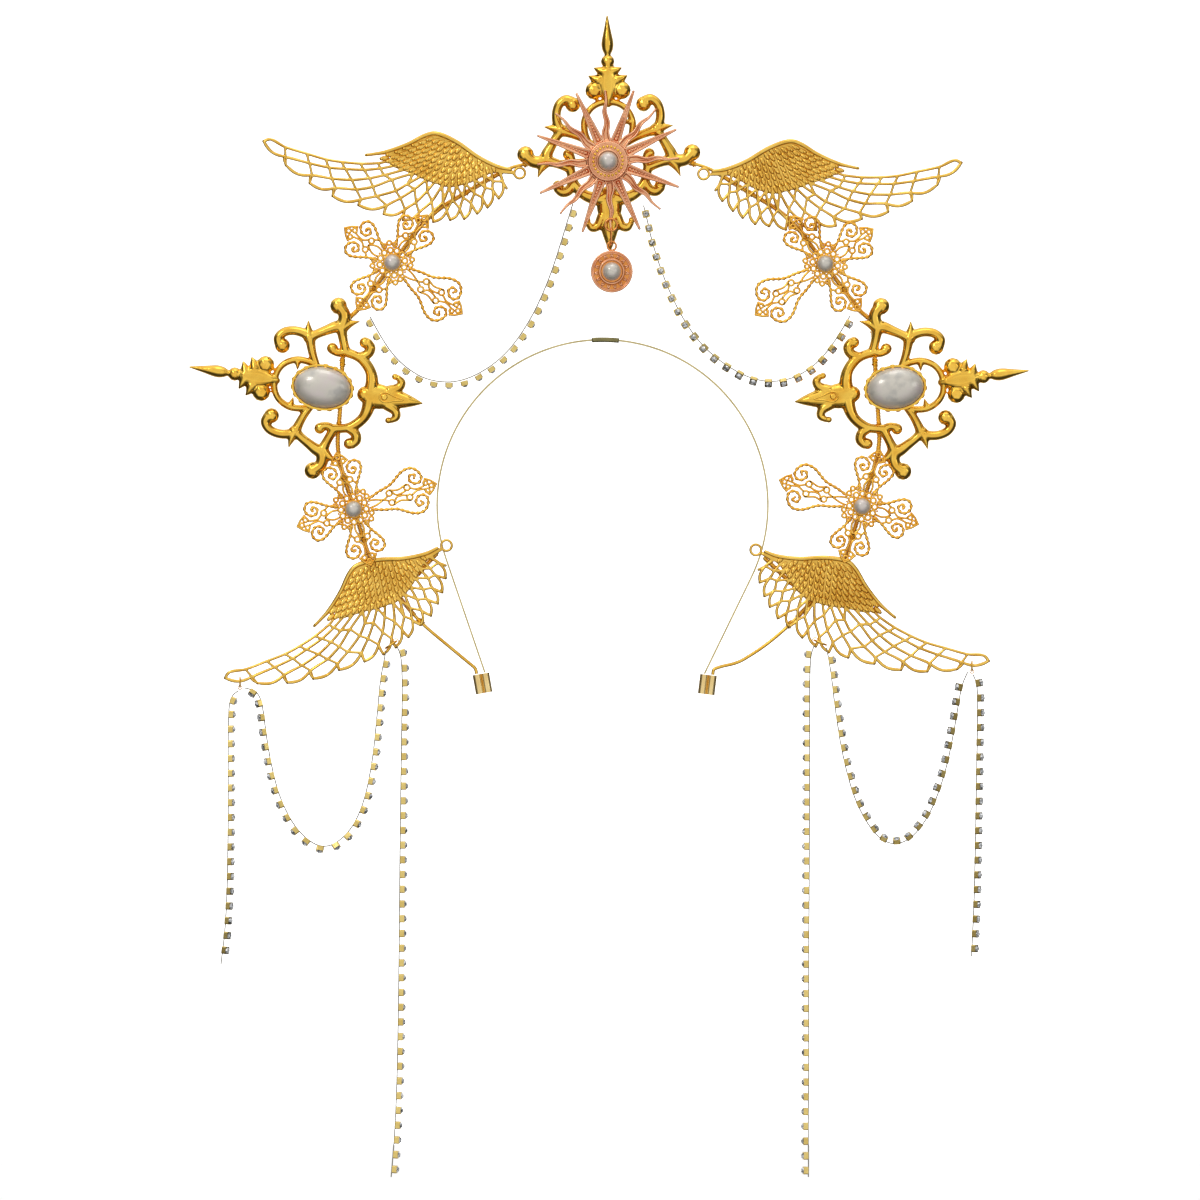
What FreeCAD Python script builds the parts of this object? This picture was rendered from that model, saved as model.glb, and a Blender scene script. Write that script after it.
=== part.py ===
# Halo crown: a spring hair hoop that carries a wire halo frame, with wings, crosses, ornaments,
# a starburst with a pendant, and eight strands of crystal cup chain.
# Millimetres. +X is the wearer's left as seen from the front, +Z is up and the front faces -Y.
# The origin is the centre of the hoop, in the middle of the band's width.
import FreeCAD, Part
import Sketcher
import math
import os

SIZES = {
    # hoop
    "hoop_radius": 72.0,
    "band_width": 5.0,
    "band_gauge": 0.7,
    "ferrule_height": 8.5,
    "ferrule_barrel": 1.9,
    # halo frame
    "wire_dia": 1.5,
    "lashing_dia": 0.6,
    "plate_gap": 0.1,
    # wings, crosses and ornaments
    "wing_gauge": 1.7,
    "feather_bar": 1.1,
    "eyelet_outer": 2.9,
    "eyelet_bore": 1.75,
    "cross_gauge": 1.4,
    "cross_short_arm": 26.0,
    "cross_long_arm": 38.0,
    "ornament_gauge": 4.2,
    "leaf_gauge": 1.7,
    # starburst and pendant
    "star_hub": 8.6,
    "star_gauge": 1.6,
    "straight_ray": 33.0,
    "wavy_ray": 31.0,
    "star_pearl_dia": 8.0,
    "medallion_dia": 18.2,
    "medallion_gauge": 2.0,
    "bail_radius": 1.9,
    "bail_dia": 0.9,
    "connector_radius": 2.6,
    "connector_dia": 1.0,
    "link_dia": 0.7,
    # pearls
    "cross_pearl_dia": 7.0,
    "oval_pearl_long": 25.0,
    "oval_pearl_short": 18.0,
    "oval_pearl_height": 6.5,
    "bezel_wall": 0.9,
    "bezel_height": 2.4,
    # rings
    "tip_ring_radius": 2.2,
    "tip_ring_dia": 0.65,
    "wing_ring_radius": 2.8,
    "wing_ring_dia": 0.9,
    "loop_dia": 0.4,
    # cup chain
    "thread_dia": 0.5,
    "cup_side": 3.3,
    "cup_depth": 2.0,
    "cup_bore": 2.8,
    "stone_dia": 2.7,
    "cup_pitch": 6.4,
    "running_gap": 0.3,
}

# Wings: eyelet centre x, z; turn of the tip above level; mirrored (pointing to -X).
WINGS = {
    "upper_left_wing": (-36.0, 144.2, 7.2, True),
    "upper_right_wing": (43.9, 143.8, 2.6, False),
    "lower_left_wing": (-67.8, -17.6, -30.8, True),
    "lower_right_wing": (66.6, -19.5, -25.4, False),
}

# Crosses: pearl centre x, z and the direction of the long arm.
CROSSES = {
    "upper_left_cross": (-91.3, 105.2, -36.2),
    "upper_right_cross": (96.7, 104.7, 216.2),
    "lower_left_cross": (-108.1, -1.9, 17.2),
    "lower_right_cross": (112.7, -0.6, 162.3),
}

# Ornaments: centre x, z and the direction of the lily end.
ORNAMENTS = {
    "top_ornament": (2.7, 153.9, -89.3),
    "left_ornament": (-121.5, 50.9, -8.9),
    "right_ornament": (127.0, 50.6, 187.6),
}

STAR = (2.4, 149.0)
STAR_TURN = 2.5
CONNECTOR = (3.7, 121.4)
BAIL = (4.0, 112.2)
FERRULES = {"left_ferrule": (-52.2, -77.6, 10.0, 1), "right_ferrule": (45.6, -78.1, -7.0, -1)}

# Feather edges of one wing, from the leading edge back: the feather's tip, then where the cross
# bars meet its edge, out to in, and last its root at the covert.
FEATHERS = [
    [(112.2, -0.2), (109.2, 1.0), (102.6, -1.5), (92.9, -3.2), (84.5, -4.6), (77.4, -4.9), (69.2, -4.6),
     (61.4, -3.4), (57.3, -1.9)],
    [(101.2, -9.4), (101.8, -5.9), (91.2, -7.2), (82.5, -8.0), (75.4, -7.7), (67.3, -7.1), (60.4, -5.6),
     (54.7, -3.8)],
    [(90.0, -15.8), (89.3, -12.3), (80.7, -12.6), (72.0, -12.1), (64.5, -10.4), (58.4, -8.3),
     (50.0, -4.9)],
    [(79.4, -20.1), (78.5, -16.5), (69.6, -16.0), (62.5, -13.9), (54.6, -9.8), (45.6, -5.8)],
    [(67.8, -22.6), (66.8, -20.0), (60.6, -17.8), (52.5, -14.4), (48.0, -11.0), (42.5, -6.9)],
    [(56.4, -25.1), (55.4, -21.2), (50.0, -17.3), (44.4, -12.6), (39.8, -7.9)],
    [(47.8, -26.6), (47.4, -22.0), (43.1, -18.2), (38.9, -12.8), (36.2, -8.6)],
    [(41.6, -26.8), (41.2, -22.6), (36.3, -16.9), (32.6, -9.2)],
    [(34.6, -25.8), (35.3, -21.4), (31.6, -16.9), (29.6, -9.5)],
    [(27.4, -24.0), (29.3, -20.1), (27.5, -15.2), (26.6, -8.7)],
    [(21.4, -22.8), (23.8, -18.7), (23.0, -13.6), (22.9, -7.4)],
    [(16.1, -19.8), (19.3, -15.6), (18.5, -11.2), (18.9, -5.2)],
    [(12.0, -16.6), (14.8, -12.6), (14.1, -8.2), (15.4, -2.8)],
    [(7.6, -12.1), (10.7, -8.5), (11.2, -5.0), (12.2, -1.0)],
    [(4.8, -7.3), (6.8, -4.6), (9.0, -0.5)],
]
ROD_TOP = [(3.6, 1.6), (10.0, 2.3), (19.0, 5.4), (28.7, 10.6), (37.3, 13.3), (42.6, 11.9), (50.0, 6.9),
           (59.0, 2.5), (67.5, 0.1)]
ROD_END = [(67.2, -1.3), (61.0, 0.2), (56.0, 1.2)]

# Strokes of half an ornament, in its own plane: along the axis, out from it, half width.
SPIKE = [(-58.8, 0.0, 0.25), (-52.6, 0.0, 1.5), (-47.1, 0.0, 2.6), (-43.9, 0.0, 2.4), (-41.4, 0.0, 1.3)]
NECK = [(-42.0, 0.0, 1.2), (-38.8, 0.0, 1.7), (-34.0, 0.0, 1.4)]
LILY = [(19.0, 0.0, 3.6), (25.7, 0.0, 5.0), (31.3, 0.0, 4.0), (37.5, 0.0, 2.7), (43.9, 0.0, 0.2)]
WIDEN = 1.12
THIN_LEAF = [(4.4, 27.6, 2.0), (7.6, 29.4, 1.3), (11.1, 30.9, 0.2)]
STROKES = [
    [(-20.9, -0.4, 1.2), (-20.2, 4.6, 1.2), (-17.6, 8.3, 1.2), (-12.9, 10.4, 1.3), (-7.7, 10.2, 1.3),
     (-3.7, 8.7, 1.3)],
    [(-2.6, 6.6, 1.3), (-4.4, 9.5, 1.4), (-6.4, 13.2, 1.6), (-7.9, 17.2, 1.6), (-8.8, 20.6, 1.8)],
    [(-8.8, 20.2, 1.7), (-12.0, 22.2, 1.5), (-16.2, 22.6, 1.4), (-20.2, 21.6, 1.5), (-22.4, 18.8, 1.5),
     (-21.8, 16.2, 1.7)],
    [(-9.2, 21.5, 2.2), (-10.2, 24.6, 1.3), (-10.7, 27.6, 0.2)],
    [(-8.6, 20.4, 1.5), (-6.0, 23.0, 1.6), (-2.1, 25.1, 1.8), (1.0, 26.8, 1.9), (3.8, 27.6, 2.1)],
    [(3.6, 27.4, 2.1), (4.4, 30.4, 2.3), (3.7, 33.4, 2.4), (1.8, 35.8, 2.5)],
    [(3.7, 27.2, 2.0), (5.0, 23.4, 1.8), (6.3, 19.8, 1.8), (7.4, 17.2, 1.9)],
    [(7.0, 17.0, 1.6), (4.4, 16.1, 1.5), (1.7, 16.6, 1.5)],
    [(6.8, 17.0, 1.8), (12.4, 15.8, 1.7), (16.1, 13.9, 1.9), (19.2, 10.4, 2.0), (20.6, 6.4, 2.3),
     (20.9, 2.2, 2.6)],
    [(13.4, 15.8, 1.5), (16.8, 17.6, 1.9), (17.8, 20.6, 1.9), (16.2, 23.0, 1.5), (13.4, 23.0, 0.8)],
    [(29.6, 2.6, 1.8), (33.0, 4.6, 1.8), (33.6, 7.4, 1.6), (31.2, 9.2, 0.8)],
    [(-35.4, 1.6, 1.6), (-34.6, 3.8, 1.3), (-34.0, 5.7, 0.3)],
]
DISCS = [(-38.8, 0.0, 2.8), (-30.4, 1.6, 4.2), (-25.8, 6.4, 3.5), (-24.6, 1.5, 3.4), (-20.6, 15.9, 2.7),
         (1.6, 17.4, 1.9), (1.7, 35.9, 3.0), (15.6, 22.4, 1.9)]

# Routes of the chains, x and z, from the piece that they hang on.
ROUTES = {
    "upper_left_swag": [(-12.9, 130.7), (-14.8, 124.8), (-17.6, 115.3), (-23.5, 97.0), (-32.0, 78.7),
                        (-43.7, 63.1), (-60.2, 53.3), (-75.0, 53.5), (-86.3, 60.0), (-95.0, 70.2),
                        (-101.0, 81.8)],
    "upper_right_swag": [(17.8, 130.1), (19.4, 124.0), (21.5, 114.0), (27.4, 96.1), (36.3, 77.9),
                         (47.6, 64.4), (65.0, 53.9), (79.8, 53.5), (92.0, 60.0), (101.6, 71.6),
                         (107.4, 82.0)],
    "lower_left_swag": [(-155.7, -79.5), (-152.8, -79.9), (-149.2, -82.2), (-147.5, -88.3),
                        (-146.4, -97.9), (-144.2, -111.8), (-140.3, -127.5), (-132.5, -142.2),
                        (-121.1, -150.1), (-110.3, -143.1), (-103.7, -130.1), (-99.8, -110.9),
                        (-97.9, -91.3), (-96.6, -77.0), (-95.3, -69.4), (-94.0, -63.2)],
    "lower_right_swag": [(97.2, -61.9), (98.2, -66.6), (99.4, -74.0), (100.9, -87.4), (104.2, -109.2),
                         (110.3, -130.9), (120.7, -146.6), (131.6, -147.5), (141.6, -136.2),
                         (148.6, -117.9), (152.5, -99.6), (154.9, -84.8), (156.4, -77.0),
                         (158.7, -72.6)],
    "left_tip_drop": [(-158.1, -80.7), (-160.4, -82.0), (-162.1, -85.4), (-162.6, -93.4),
                      (-162.7, -110.1), (-162.6, -139.6), (-163.1, -169.7), (-164.2, -187.1),
                      (-165.3, -195.3), (-165.8, -199.7)],
    "right_tip_drop": [(161.0, -73.8), (162.2, -76.0), (163.0, -81.2), (163.0, -91.8),
                       (162.6, -113.5), (162.1, -145.7), (161.4, -174.0), (160.7, -188.4),
                       (160.3, -196.2)],
    "left_long_drop": [(-89.4, -61.3), (-88.0, -63.8), (-87.2, -68.6), (-86.9, -80.2),
                       (-87.4, -107.4), (-88.0, -154.4), (-88.4, -202.3), (-89.1, -245.8),
                       (-90.1, -271.0), (-91.2, -284.9), (-91.8, -291.9)],
    "right_long_drop": [(92.0, -61.0), (90.8, -63.6), (90.2, -68.6), (89.9, -80.1), (90.0, -107.4),
                        (89.8, -154.4), (89.5, -202.3), (89.6, -245.8), (89.3, -271.0),
                        (89.5, -284.9), (89.4, -291.9)],
}
# Cups of each chain: turn about the thread at its start and end, and where the first cup sits.
CUPS = {
    "upper_left_swag": (100.0, 90.0, 4.0),
    "upper_right_swag": (0.0, -60.0, 4.0),
    "lower_left_swag": (-60.0, -80.0, 4.5),
    "lower_right_swag": (70.0, 60.0, 5.9),
    "left_tip_drop": (80.0, 60.0, 5.5),
    "right_tip_drop": (60.0, 60.0, 4.0),
    "left_long_drop": (85.0, 80.0, 3.6),
    "right_long_drop": (-85.0, -80.0, 4.3),
}

# Rings fixed round a feather's edge: x, z of the centre and the lean of the ring's plane.
TIP_RINGS = [(-157.5, -77.1, 90.0), (160.5, -70.1, 90.0)]
WING_RINGS = [(-91.9, -60.7, 33.0), (94.6, -59.8, -22.0)]
# Small loops: the ring they hang in, which one of the pair, and whether at its bottom or an end.
LOOPS = {"left_tip_loop": ("tip", 0, 0), "right_tip_loop": ("tip", 1, 0),
         "left_drop_loop": ("wing", 0, 1), "right_drop_loop": ("wing", 1, -1)}

FRAMES = {
    "left_frame_wire": [(-55.2, -71.0), (-58.4, -68.4), (-79.4, -51.0), (-89.5, -38.6), (-100.6, -25.6),
                        (-108.1, -1.9), (-115.8, 23.1), (-114.0, 42.0), (-113.2, 62.0), (-111.8, 80.0),
                        (-106.0, 85.0), (-91.3, 105.2), (-75.3, 126.6), (-55.0, 138.4), (-40.8, 146.6),
                        (-31.8, 148.7), (1.6, 150.6)],
    "right_frame_wire": [(48.2, -71.4), (51.6, -70.2), (59.0, -68.6), (69.4, -62.2), (80.2, -53.4),
                         (91.4, -41.6), (105.0, -25.0), (112.8, -0.2), (120.8, 24.8), (119.6, 43.0),
                         (118.4, 62.0), (117.6, 80.0), (111.8, 84.2), (96.7, 104.7), (81.0, 125.8),
                         (60.0, 138.0), (47.2, 146.2), (38.2, 149.0), (3.2, 150.6)],
}
BRACES = {"left_brace_wire": [(-87.6, -38.0), (-80.0, -29.6), (-71.6, -20.6)],
          "right_brace_wire": [(89.6, -40.6), (81.0, -33.0), (70.0, -22.6)]}
# Lashings: the wire they are on and roughly where, x and z.
LASHINGS = [("left_frame_wire", -33.0, 148.4), ("left_frame_wire", -60.0, 135.6),
            ("left_frame_wire", -82.4, 117.4), ("left_frame_wire", -99.6, 94.0),
            ("left_frame_wire", -112.4, 74.6), ("left_frame_wire", -113.4, 62.0),
            ("left_frame_wire", -114.6, 34.0), ("left_frame_wire", -112.6, 12.6),
            ("left_frame_wire", -104.4, -13.6), ("left_frame_wire", -94.0, -32.0),
            ("left_frame_wire", -79.6, -50.8), ("left_brace_wire", -79.4, -29.0),
            ("right_frame_wire", 38.8, 148.6), ("right_frame_wire", 64.0, 135.6),
            ("right_frame_wire", 88.4, 116.4), ("right_frame_wire", 104.8, 94.0),
            ("right_frame_wire", 118.0, 74.6), ("right_frame_wire", 118.6, 62.0),
            ("right_frame_wire", 120.2, 34.0), ("right_frame_wire", 117.0, 12.6),
            ("right_frame_wire", 108.6, -13.6), ("right_frame_wire", 98.0, -33.0),
            ("right_frame_wire", 81.8, -52.0), ("right_brace_wire", 81.0, -33.0)]
LASHING_TURNS = 5


def make_sheet(doc):
    """Puts the driving sizes in a spreadsheet, one alias each."""
    sheet = doc.addObject("Spreadsheet::Sheet", "Sizes")
    for row, (alias, value) in enumerate(SIZES.items(), start=1):
        sheet.set("A%d" % row, alias)
        sheet.set("B%d" % row, str(value))
        sheet.setAlias("B%d" % row, alias)
    doc.recompute()
    return sheet


doc = FreeCAD.newDocument("Crown")
sheet = make_sheet(doc)
parts = []


def size(alias):
    """Reads one driving size back from the sheet."""
    return float(sheet.get(alias))


def flat(x, z, y=0.0):
    """A point of the crown's own plane, at depth y."""
    return FreeCAD.Vector(x, y, z)


def turned(x, z, y, angle):
    """A placement in the crown's plane; angle turns +X towards +Z."""
    return FreeCAD.Placement(flat(x, z, y), FreeCAD.Rotation(FreeCAD.Vector(0, -1, 0), angle))


def keep(obj, label, placement=None):
    """Names a finished sub-part, places it and lists it for writing."""
    obj.Label = label
    if placement is not None:
        obj.Placement = placement
    parts.append(obj)
    return obj


def feature(label, shape, placement=None):
    """A sub-part whose shape comes from code that reads the sheet."""
    obj = doc.addObject("Part::Feature", label)
    obj.Shape = shape
    return keep(obj, label, placement or FreeCAD.Placement())


# Depths, from the band at the back to the pearls at the front.
PLATE_BACK = -size("band_width") / 2
FRAME_Y = PLATE_BACK + size("wire_dia") / 2 + size("lashing_dia") + size("plate_gap")
WING_MIDDLE = PLATE_BACK - size("wing_gauge") / 2
CROSS_BACK = PLATE_BACK - size("wing_gauge") - size("plate_gap")
ORNAMENT_FRONT = PLATE_BACK - size("ornament_gauge")
STAR_BACK = ORNAMENT_FRONT - size("plate_gap")
STAR_FRONT = STAR_BACK - size("star_gauge")
SWAG_Y = CROSS_BACK - size("cross_gauge") / 2
DROP_Y = PLATE_BACK - size("wing_gauge") - size("loop_dia") / 2 - size("running_gap") - 0.05
PENDANT_Y = STAR_FRONT - size("connector_dia") / 2 - size("plate_gap")


# ---------------------------------------------------------------- wires and paths
def rounded_path(points):
    """Straight runs joined by tangent arcs, each as large as its two runs allow."""
    edges, radii, start = [], [], points[0]
    for before, corner, after in zip(points, points[1:], points[2:]):
        back, ahead = before - corner, after - corner
        turn = math.pi - back.getAngle(ahead)
        reach = 0.45 * min(back.Length, ahead.Length)
        radii.append(reach / math.tan(turn / 2))
        begin = corner + back.normalize() * reach
        end = corner + ahead.normalize() * reach
        half = (back + ahead).normalize()
        middle = corner + half * (radii[-1] / math.cos(turn / 2) - radii[-1])
        edges.append(Part.LineSegment(start, begin).toShape())
        edges.append(Part.Arc(begin, middle, end).toShape())
        start = end
    edges.append(Part.LineSegment(start, points[-1]).toShape())
    return Part.Wire(edges), radii


def tube(path, diameter):
    """A round wire along a path."""
    start = path.Edges[0]
    tangent = start.tangentAt(start.FirstParameter)
    ring = Part.Circle(start.valueAt(start.FirstParameter), tangent, diameter / 2)
    return path.makePipeShell([Part.Wire([ring.toShape()])], True, False)


def torus(radius, diameter, x, y, z, axis):
    """A closed ring of round wire."""
    return Part.makeTorus(radius, diameter / 2, FreeCAD.Vector(x, y, z), axis)


# ---------------------------------------------------------------- hoop
def tangent_angle(point):
    """Where a straight line from a point outside meets the hoop's circle, below the middle."""
    spread = math.acos(size("hoop_radius") / math.hypot(*point))
    angle = math.atan2(point[1], point[0])
    return angle - spread if point[0] < 0 else angle + spread


def mouth(name, inner):
    """The open end of one of a ferrule's two barrels: the inner one takes the band."""
    x, z, lean, inward = FERRULES[name]
    rise = size("ferrule_height") / 2 + 0.25
    out = size("ferrule_barrel") * 0.95 * (inward if inner else -inward)
    top = turned(x, z, 0, lean).multVec(flat(out, rise))
    return top.x, top.z


def hoop_band():
    """The spring band: most of a circle, run out in straight legs to the two ferrules."""
    half = size("band_gauge") / 2
    legs = [(mouth(name, True), side) for name, side in (("left_ferrule", -1), ("right_ferrule", 1))]
    wires = []
    for radius in (size("hoop_radius") - half, size("hoop_radius") + half):
        ends = []
        for point, side in legs:
            angle = tangent_angle(point)
            normal = flat(math.cos(angle), math.sin(angle))
            shift = radius - size("hoop_radius")
            ends.append((flat(*point) + normal * shift, normal * radius))
        wires.append(ends)
    inner, outer = wires
    apex = flat(0, size("hoop_radius"))
    edges = []
    for ends, scale in ((inner, 1 - half / size("hoop_radius")), (outer, 1 + half / size("hoop_radius"))):
        edges.append(Part.LineSegment(ends[0][0], ends[0][1]).toShape())
        edges.append(Part.Arc(ends[0][1], apex * scale, ends[1][1]).toShape())
        edges.append(Part.LineSegment(ends[1][1], ends[1][0]).toShape())
    edges.append(Part.LineSegment(inner[0][0], outer[0][0]).toShape())
    edges.append(Part.LineSegment(inner[1][0], outer[1][0]).toShape())
    outline = Part.Wire(Part.__sortEdges__(edges))
    solid = Part.Face(outline).extrude(FreeCAD.Vector(0, size("band_width"), 0))
    solid.translate(FreeCAD.Vector(0, -size("band_width") / 2, 0))
    return solid


def ferrule(label):
    """A double barrel that joins the end of the band to the end of the frame wire."""
    x, z, lean, inward = FERRULES[label]
    barrels = []
    for number, side in enumerate((-1, 1)):
        barrel = doc.addObject("Part::Cylinder", "%s_barrel%d" % (label, number))
        barrel.setExpression("Radius", "Sizes.ferrule_barrel")
        barrel.setExpression("Height", "Sizes.ferrule_height")
        barrel.setExpression("Placement.Base.x", "%d * Sizes.ferrule_barrel * 0.95" % side)
        barrel.setExpression("Placement.Base.z", "-Sizes.ferrule_height / 2")
        barrels.append(barrel)
    fused = doc.addObject("Part::MultiFuse", label)
    fused.Shapes = barrels
    return keep(fused, label, turned(x, z, 0, lean))


# ---------------------------------------------------------------- wings
def feather_end(number):
    """The rounded end of a feather, from its tip to the notch on the next feather's edge."""
    tip, notch = flat(*FEATHERS[number][0]), flat(*FEATHERS[number + 1][1])
    away = flat(tip.z - notch.z, notch.x - tip.x).normalize()
    if away.x * 0.5 + away.z > 0:
        away = away * -1
    return tip, (tip + notch) * 0.5 + away * (tip - notch).Length * 0.15, notch


def inset(points, gap):
    """A closed polygon shrunk by gap on every side, or None where nothing is left."""
    count = len(points)
    area = sum(points[i].x * points[i - 1].z - points[i - 1].x * points[i].z for i in range(count))
    sign = 1 if area > 0 else -1
    lines = []
    for i in range(count):
        run = (points[i] - points[i - 1]).normalize()
        normal = flat(run.z, -run.x) * sign * -1
        lines.append((points[i] + normal * gap * -1, run))
    result = []
    for (a, run_a), (b, run_b) in zip(lines, lines[1:] + lines[:1]):
        cross = run_a.x * run_b.z - run_a.z * run_b.x
        if abs(cross) < 1e-3:
            return None
        share = ((b.x - a.x) * run_b.z - (b.z - a.z) * run_b.x) / cross
        result.append(a + run_a * share)
    for i in range(count):
        side = points[i] - points[i - 1]
        if (result[i] - result[i - 1]).dot(side) <= 0.25 * side.Length:
            return None
    return result


def feather_cells(number):
    """The openings of one feather, between its two edges and its cross bars."""
    ahead = [flat(*p) for p in FEATHERS[number][1:]]
    behind = [flat(*p) for p in FEATHERS[number + 1][1:]]
    tip, bulge, notch = feather_end(number)
    cells = [[ahead[0], tip, bulge, behind[0], ahead[1]]]
    for k in range(len(ahead)):
        if k + 2 >= len(ahead) or k + 1 >= len(behind) - 1:
            cells.append(ahead[k + 1:] + behind[k:][::-1])
            break
        cells.append([ahead[k + 1], ahead[k + 2], behind[k + 1], behind[k]])
    return cells


def outward(number, gap):
    """The outline of a feather's end, gap outside its middle line."""
    tip, bulge, notch = feather_end(number)
    forward = (tip - flat(*FEATHERS[number][1])).normalize()
    side = (bulge - (tip + notch) * 0.5).normalize()
    return tip + forward * gap * 0.5 + side * gap * 0.4, bulge + side * gap, notch + side * gap * 0.6


def wing_shape():
    """An openwork wing: leading rod, covert panel and feathers, with an eyelet at its root."""
    spline = Part.BSplineCurve()
    spline.interpolate([flat(*p) for p in ROD_TOP])
    edges = [spline.toShape()]
    lift = flat(0, size("feather_bar") / 2)
    leading = [flat(*p) + lift for p in FEATHERS[0][:0:-1]]
    corner = [flat(*ROD_TOP[-1])] + [flat(*p) for p in ROD_END] + [leading[0]]
    edges += [Part.LineSegment(a, b).toShape() for a, b in zip(corner, corner[1:])]
    top = Part.BSplineCurve()
    ends = [outward(number, size("feather_bar") / 2) for number in range(len(FEATHERS) - 1)]
    top.interpolate(leading + [ends[0][0]])
    edges.append(top.toShape())
    for number, (tip, bulge, notch) in enumerate(ends):
        edges.append(Part.Arc(tip, bulge, notch).toShape())
        following = ends[number + 1][0] if number + 1 < len(ends) else flat(*FEATHERS[-1][0])
        edges.append(Part.LineSegment(notch, following).toShape())
    last = [flat(*FEATHERS[-1][0]), flat(7.6, -1.2), flat(3.0, -1.0)]
    edges += [Part.LineSegment(a, b).toShape() for a, b in zip(last, last[1:])]
    edges.append(Part.LineSegment(last[-1], flat(*ROD_TOP[0])).toShape())
    holes = []
    for number in range(len(FEATHERS) - 1):
        for cell in feather_cells(number):
            shrunk = inset(cell, size("feather_bar") / 2)
            if shrunk:
                holes.append(Part.makePolygon(shrunk + shrunk[:1]))
    outline = Part.Wire(Part.__sortEdges__(edges))
    face = Part.makeFace([outline] + holes, "Part::FaceMakerBullseye")
    plate = face.extrude(flat(0, 0, -size("wing_gauge")))
    forward = flat(0, 0, -1)
    disc = Part.makeCylinder(size("eyelet_outer"), size("wing_gauge"), flat(0, 0), forward)
    bore = Part.makeCylinder(size("eyelet_bore"), size("wing_gauge"), flat(0, 0), forward)
    return plate.fuse(disc).cut(bore).removeSplitter()


# ---------------------------------------------------------------- crosses
def cross_arm(length, flare, width):
    """Half outline of an arm: along it and out from it, to the point at its end."""
    reach = length - 6.0
    return [(7.8, 5.4), (10.2, 5.2), (flare - 5.0, width - 1.5), (flare, width), (reach - 0.6, width - 2.4),
            (reach + 0.6, 3.9)]


def cross_shape():
    """A latin cross of filigree, the long arm along +X, with round and square openings."""
    arms = [(0, size("cross_long_arm"), 27.5, 10.7), (90, size("cross_short_arm"), 17.4, 8.9),
            (180, size("cross_short_arm"), 17.4, 8.9), (270, size("cross_short_arm"), 17.4, 8.9)]
    edges, holes = [], []
    hub = 8.9 / math.sqrt(2)
    for angle, length, flare, width in arms:
        turn = FreeCAD.Rotation(FreeCAD.Vector(0, -1, 0), angle)
        side = cross_arm(length, flare, width)
        for sign in (-1, 1):
            points = [turn.multVec(flat(a, b * sign)) for a, b in side]
            curve = Part.BSplineCurve()
            curve.interpolate(points)
            tip = turn.multVec(flat(length, 0))
            edges += [curve.toShape(), Part.LineSegment(points[-1], tip).toShape()]
            for along, out, radius in ((flare - 0.4, width * 0.55, width * 0.22),
                                       (flare - 7.2, 2.1, 1.1), (length - 4.8, 1.4, 0.8)):
                centre = turn.multVec(flat(along, out * sign))
                holes.append(Part.Wire([Part.Circle(centre, flat(0, 0, 1), radius).toShape()]))
        corner = [turn.multVec(flat(7.8, 5.4)), turn.multVec(flat(hub + 0.9, hub + 0.9)),
                  turn.multVec(flat(5.4, 7.8))]
        edges.append(Part.Arc(*corner).toShape())
    for step in range(12):
        angle = math.radians(15 + 30 * step)
        centre = flat(5.6 * math.cos(angle), 5.6 * math.sin(angle))
        holes.append(Part.Wire([Part.Circle(centre, flat(0, 0, 1), 0.8).toShape()]))
    outline = Part.Wire(Part.__sortEdges__(edges))
    face = Part.makeFace([outline] + holes, "Part::FaceMakerBullseye")
    return face.extrude(flat(0, 0, -size("cross_gauge")))


# ---------------------------------------------------------------- ornaments
def ribbon(nodes):
    """A stroke of changing width as a flat face with rounded ends."""
    left, right = [], []
    for i, (a, b, half) in enumerate(nodes):
        before, after = nodes[max(i - 1, 0)], nodes[min(i + 1, len(nodes) - 1)]
        run = flat(after[0] - before[0], after[1] - before[1]).normalize()
        normal = flat(-run.z, run.x)
        left.append(flat(a, b) + normal * half)
        right.append(flat(a, b) - normal * half)
        if i == 0:
            first = flat(a, b) - run * half
    last = flat(*nodes[-1][:2]) + run * nodes[-1][2]
    sides = []
    for points in (left, right):
        curve = Part.BSplineCurve()
        curve.interpolate(points)
        sides.append(curve.toShape())
    ends = [Part.Arc(left[0], first, right[0]).toShape(), Part.Arc(left[-1], last, right[-1]).toShape()]
    return Part.Face(Part.Wire(Part.__sortEdges__(sides + ends)))


def ornament_shape():
    """A baroque casting: spike, bead, leaf head, two scrolled arms and a lily, both halves alike."""
    depth = flat(0, 0, -size("ornament_gauge"))
    solids = [ribbon([(a, b, half * WIDEN) for a, b, half in stroke]).extrude(depth)
              for stroke in (SPIKE, NECK, LILY)]
    for sign in (1, -1):
        for stroke in STROKES:
            solids.append(ribbon([(a, b * sign, half * WIDEN) for a, b, half in stroke]).extrude(depth))
        leaf = ribbon([(a, b * sign, half) for a, b, half in THIN_LEAF])
        solids.append(leaf.extrude(flat(0, 0, -size("leaf_gauge"))))
        for a, b, radius in DISCS:
            if b or sign > 0:
                solids.append(Part.makeCylinder(radius, -depth.y, flat(a, b * sign), flat(0, 0, -1)))
    return solids[0].multiFuse(solids[1:]).removeSplitter()


# ---------------------------------------------------------------- parametric bodies
def new_sketch(body, name, plane="XZ_Plane"):
    """A sketch on one of the body's own origin planes."""
    sketch = body.newObject("Sketcher::SketchObject", name)
    role = [f for f in body.Origin.OriginFeatures if f.Role == plane][0]
    sketch.AttachmentSupport = [(role, "")]
    sketch.MapMode = "FlatFace"
    return sketch


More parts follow.
